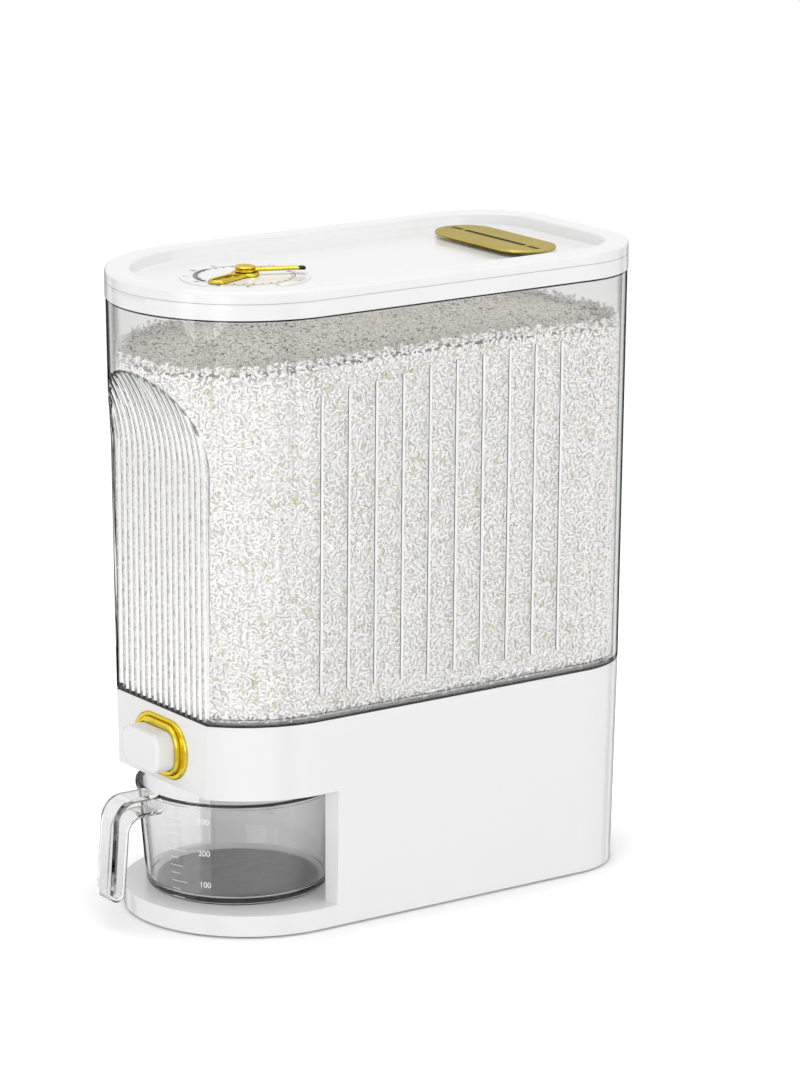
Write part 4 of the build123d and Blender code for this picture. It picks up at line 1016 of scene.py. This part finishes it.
def set_world(stage):
    """Even white all round for the camera, mirrors and glass, and a plain level of light on the object."""
    world = bpy.data.worlds.new("studio")
    bpy.context.scene.world = world
    world.use_nodes = True
    world.node_tree.nodes.clear()
    inputs = {"Value": seen_directly(world), "To Min": stage.world_light, "To Max": 1.0}
    strength = add_node(world, "ShaderNodeMapRange", inputs).outputs[0]
    backdrop = add_node(world, "ShaderNodeBackground", {"Color": (1, 1, 1), "Strength": strength})
    add_node(world, "ShaderNodeOutputWorld", {"Surface": backdrop.outputs[0]})


def soft_light(name, place, target, size, power):
    """A softbox of a width and height at place, aimed at target."""
    light = bpy.data.lights.new(name, "AREA")
    light.shape = "RECTANGLE"
    light.size, light.size_y = size
    light.energy = power
    lamp = bpy.data.objects.new(name, light)
    lamp.location = place
    lamp.rotation_euler = (target - place).to_track_quat("-Z", "Y").to_euler()
    bpy.context.scene.collection.objects.link(lamp)
    return lamp


def fill_light(name, place, target, size, power):
    """A small lamp tucked under a ledge, which is never seen itself."""
    lamp = soft_light(name, place, target, size, power)
    lamp.visible_camera = False
    lamp.visible_glossy = False
    lamp.visible_transmission = False


def set_flags():
    """Black studio flags to both sides behind the object, which only reflections meet.

    They draw the dark edges that clear plastic and polished metal show in a bright studio. Each span is in
    degrees, to either side of the point behind the object.
    """
    radius, low, high = 1.6, -0.7, 0.42
    spans, step = ((4, 34), (46, 58), (140, 155)), 3
    far_turn = math.atan2(-CAMERA_BACK.y, -CAMERA_BACK.x)
    points, faces = [], []
    for start, end in spans:
        for side in (-1, 1):
            parts = (end - start) // step
            first = len(points)
            for index in range(parts + 1):
                turn = far_turn + side * math.radians(start + step * index)
                x, y = radius * math.cos(turn), radius * math.sin(turn)
                points += [(x, y, low), (x, y, high)]
            for index in range(parts):
                near = first + 2 * index
                faces.append((near, near + 2, near + 3, near + 1))
    mesh = bpy.data.meshes.new("flags")
    mesh.from_pydata(points, [], faces)
    material = new_material("black cloth")
    matt = add_node(material, "ShaderNodeBsdfDiffuse", {"Color": colour("101010")})
    mesh.materials.append(finish_material(material, matt.outputs["BSDF"]))
    flags = bpy.data.objects.new("flags", mesh)
    bpy.context.scene.collection.objects.link(flags)
    flags.visible_camera = False
    flags.visible_diffuse = False
    flags.visible_transmission = False
    flags.visible_volume_scatter = False
    flags.visible_shadow = False


# The camera's place and turn, solved from the object's outlines, and its long lens.
CAMERA_PLACE = Vector((2.3911, -1.6329, 0.94531))
CAMERA_RIGHT = Vector((0.573094, 0.819488, 0.001455))
CAMERA_UP = Vector((-0.19875, 0.13727, 0.970389))
CAMERA_BACK = Vector((0.795023, -0.556414, 0.241542))
CAMERA_LENS = 162.307
SENSOR_HEIGHT = 36.0


def set_camera():
    """The photograph's viewing angle."""
    camera = bpy.data.cameras.new("camera")
    camera.sensor_fit = "VERTICAL"
    camera.sensor_height = SENSOR_HEIGHT
    camera.lens = CAMERA_LENS
    camera.clip_end = 50
    seat = bpy.data.objects.new("camera", camera)
    turn = Matrix((CAMERA_RIGHT, CAMERA_UP, CAMERA_BACK)).transposed().to_4x4()
    seat.matrix_world = Matrix.Translation(CAMERA_PLACE) @ turn
    bpy.context.scene.collection.objects.link(seat)
    bpy.context.scene.camera = seat


OPERATORS = (DressMouldings, DressClearPieces, DressFittings, FillRice, PrintCup, PrintDial, SetStage)


class DispenserPanel(Panel):
    """Lists the steps and their settings"""

    bl_idname = "VIEW3D_PT_dispenser"
    bl_label = "Rice dispenser"
    bl_space_type = "VIEW_3D"
    bl_region_type = "UI"
    bl_category = "Rice dispenser"

    def draw(self, context):
        for step in OPERATORS:
            self.layout.operator(step.bl_idname)
        for group in GROUPS:
            settings = getattr(context.scene, group)
            box = self.layout.box()
            for name in settings.__annotations__:
                box.prop(settings, name)


def register():
    for group, kind in GROUPS.items():
        bpy.utils.register_class(kind)
        setattr(bpy.types.Scene, group, PointerProperty(type=kind))
    for kind in (*OPERATORS, DispenserPanel):
        bpy.utils.register_class(kind)


def unregister():
    for kind in (DispenserPanel, *reversed(OPERATORS)):
        bpy.utils.unregister_class(kind)
    for group, kind in GROUPS.items():
        delattr(bpy.types.Scene, group)
        bpy.utils.unregister_class(kind)


def main():
    """Runs every step in order."""
    register()
    for step in OPERATORS:
        area, name = step.bl_idname.split(".")
        getattr(getattr(bpy.ops, area), name)()


if __name__ == "__main__":
    main()
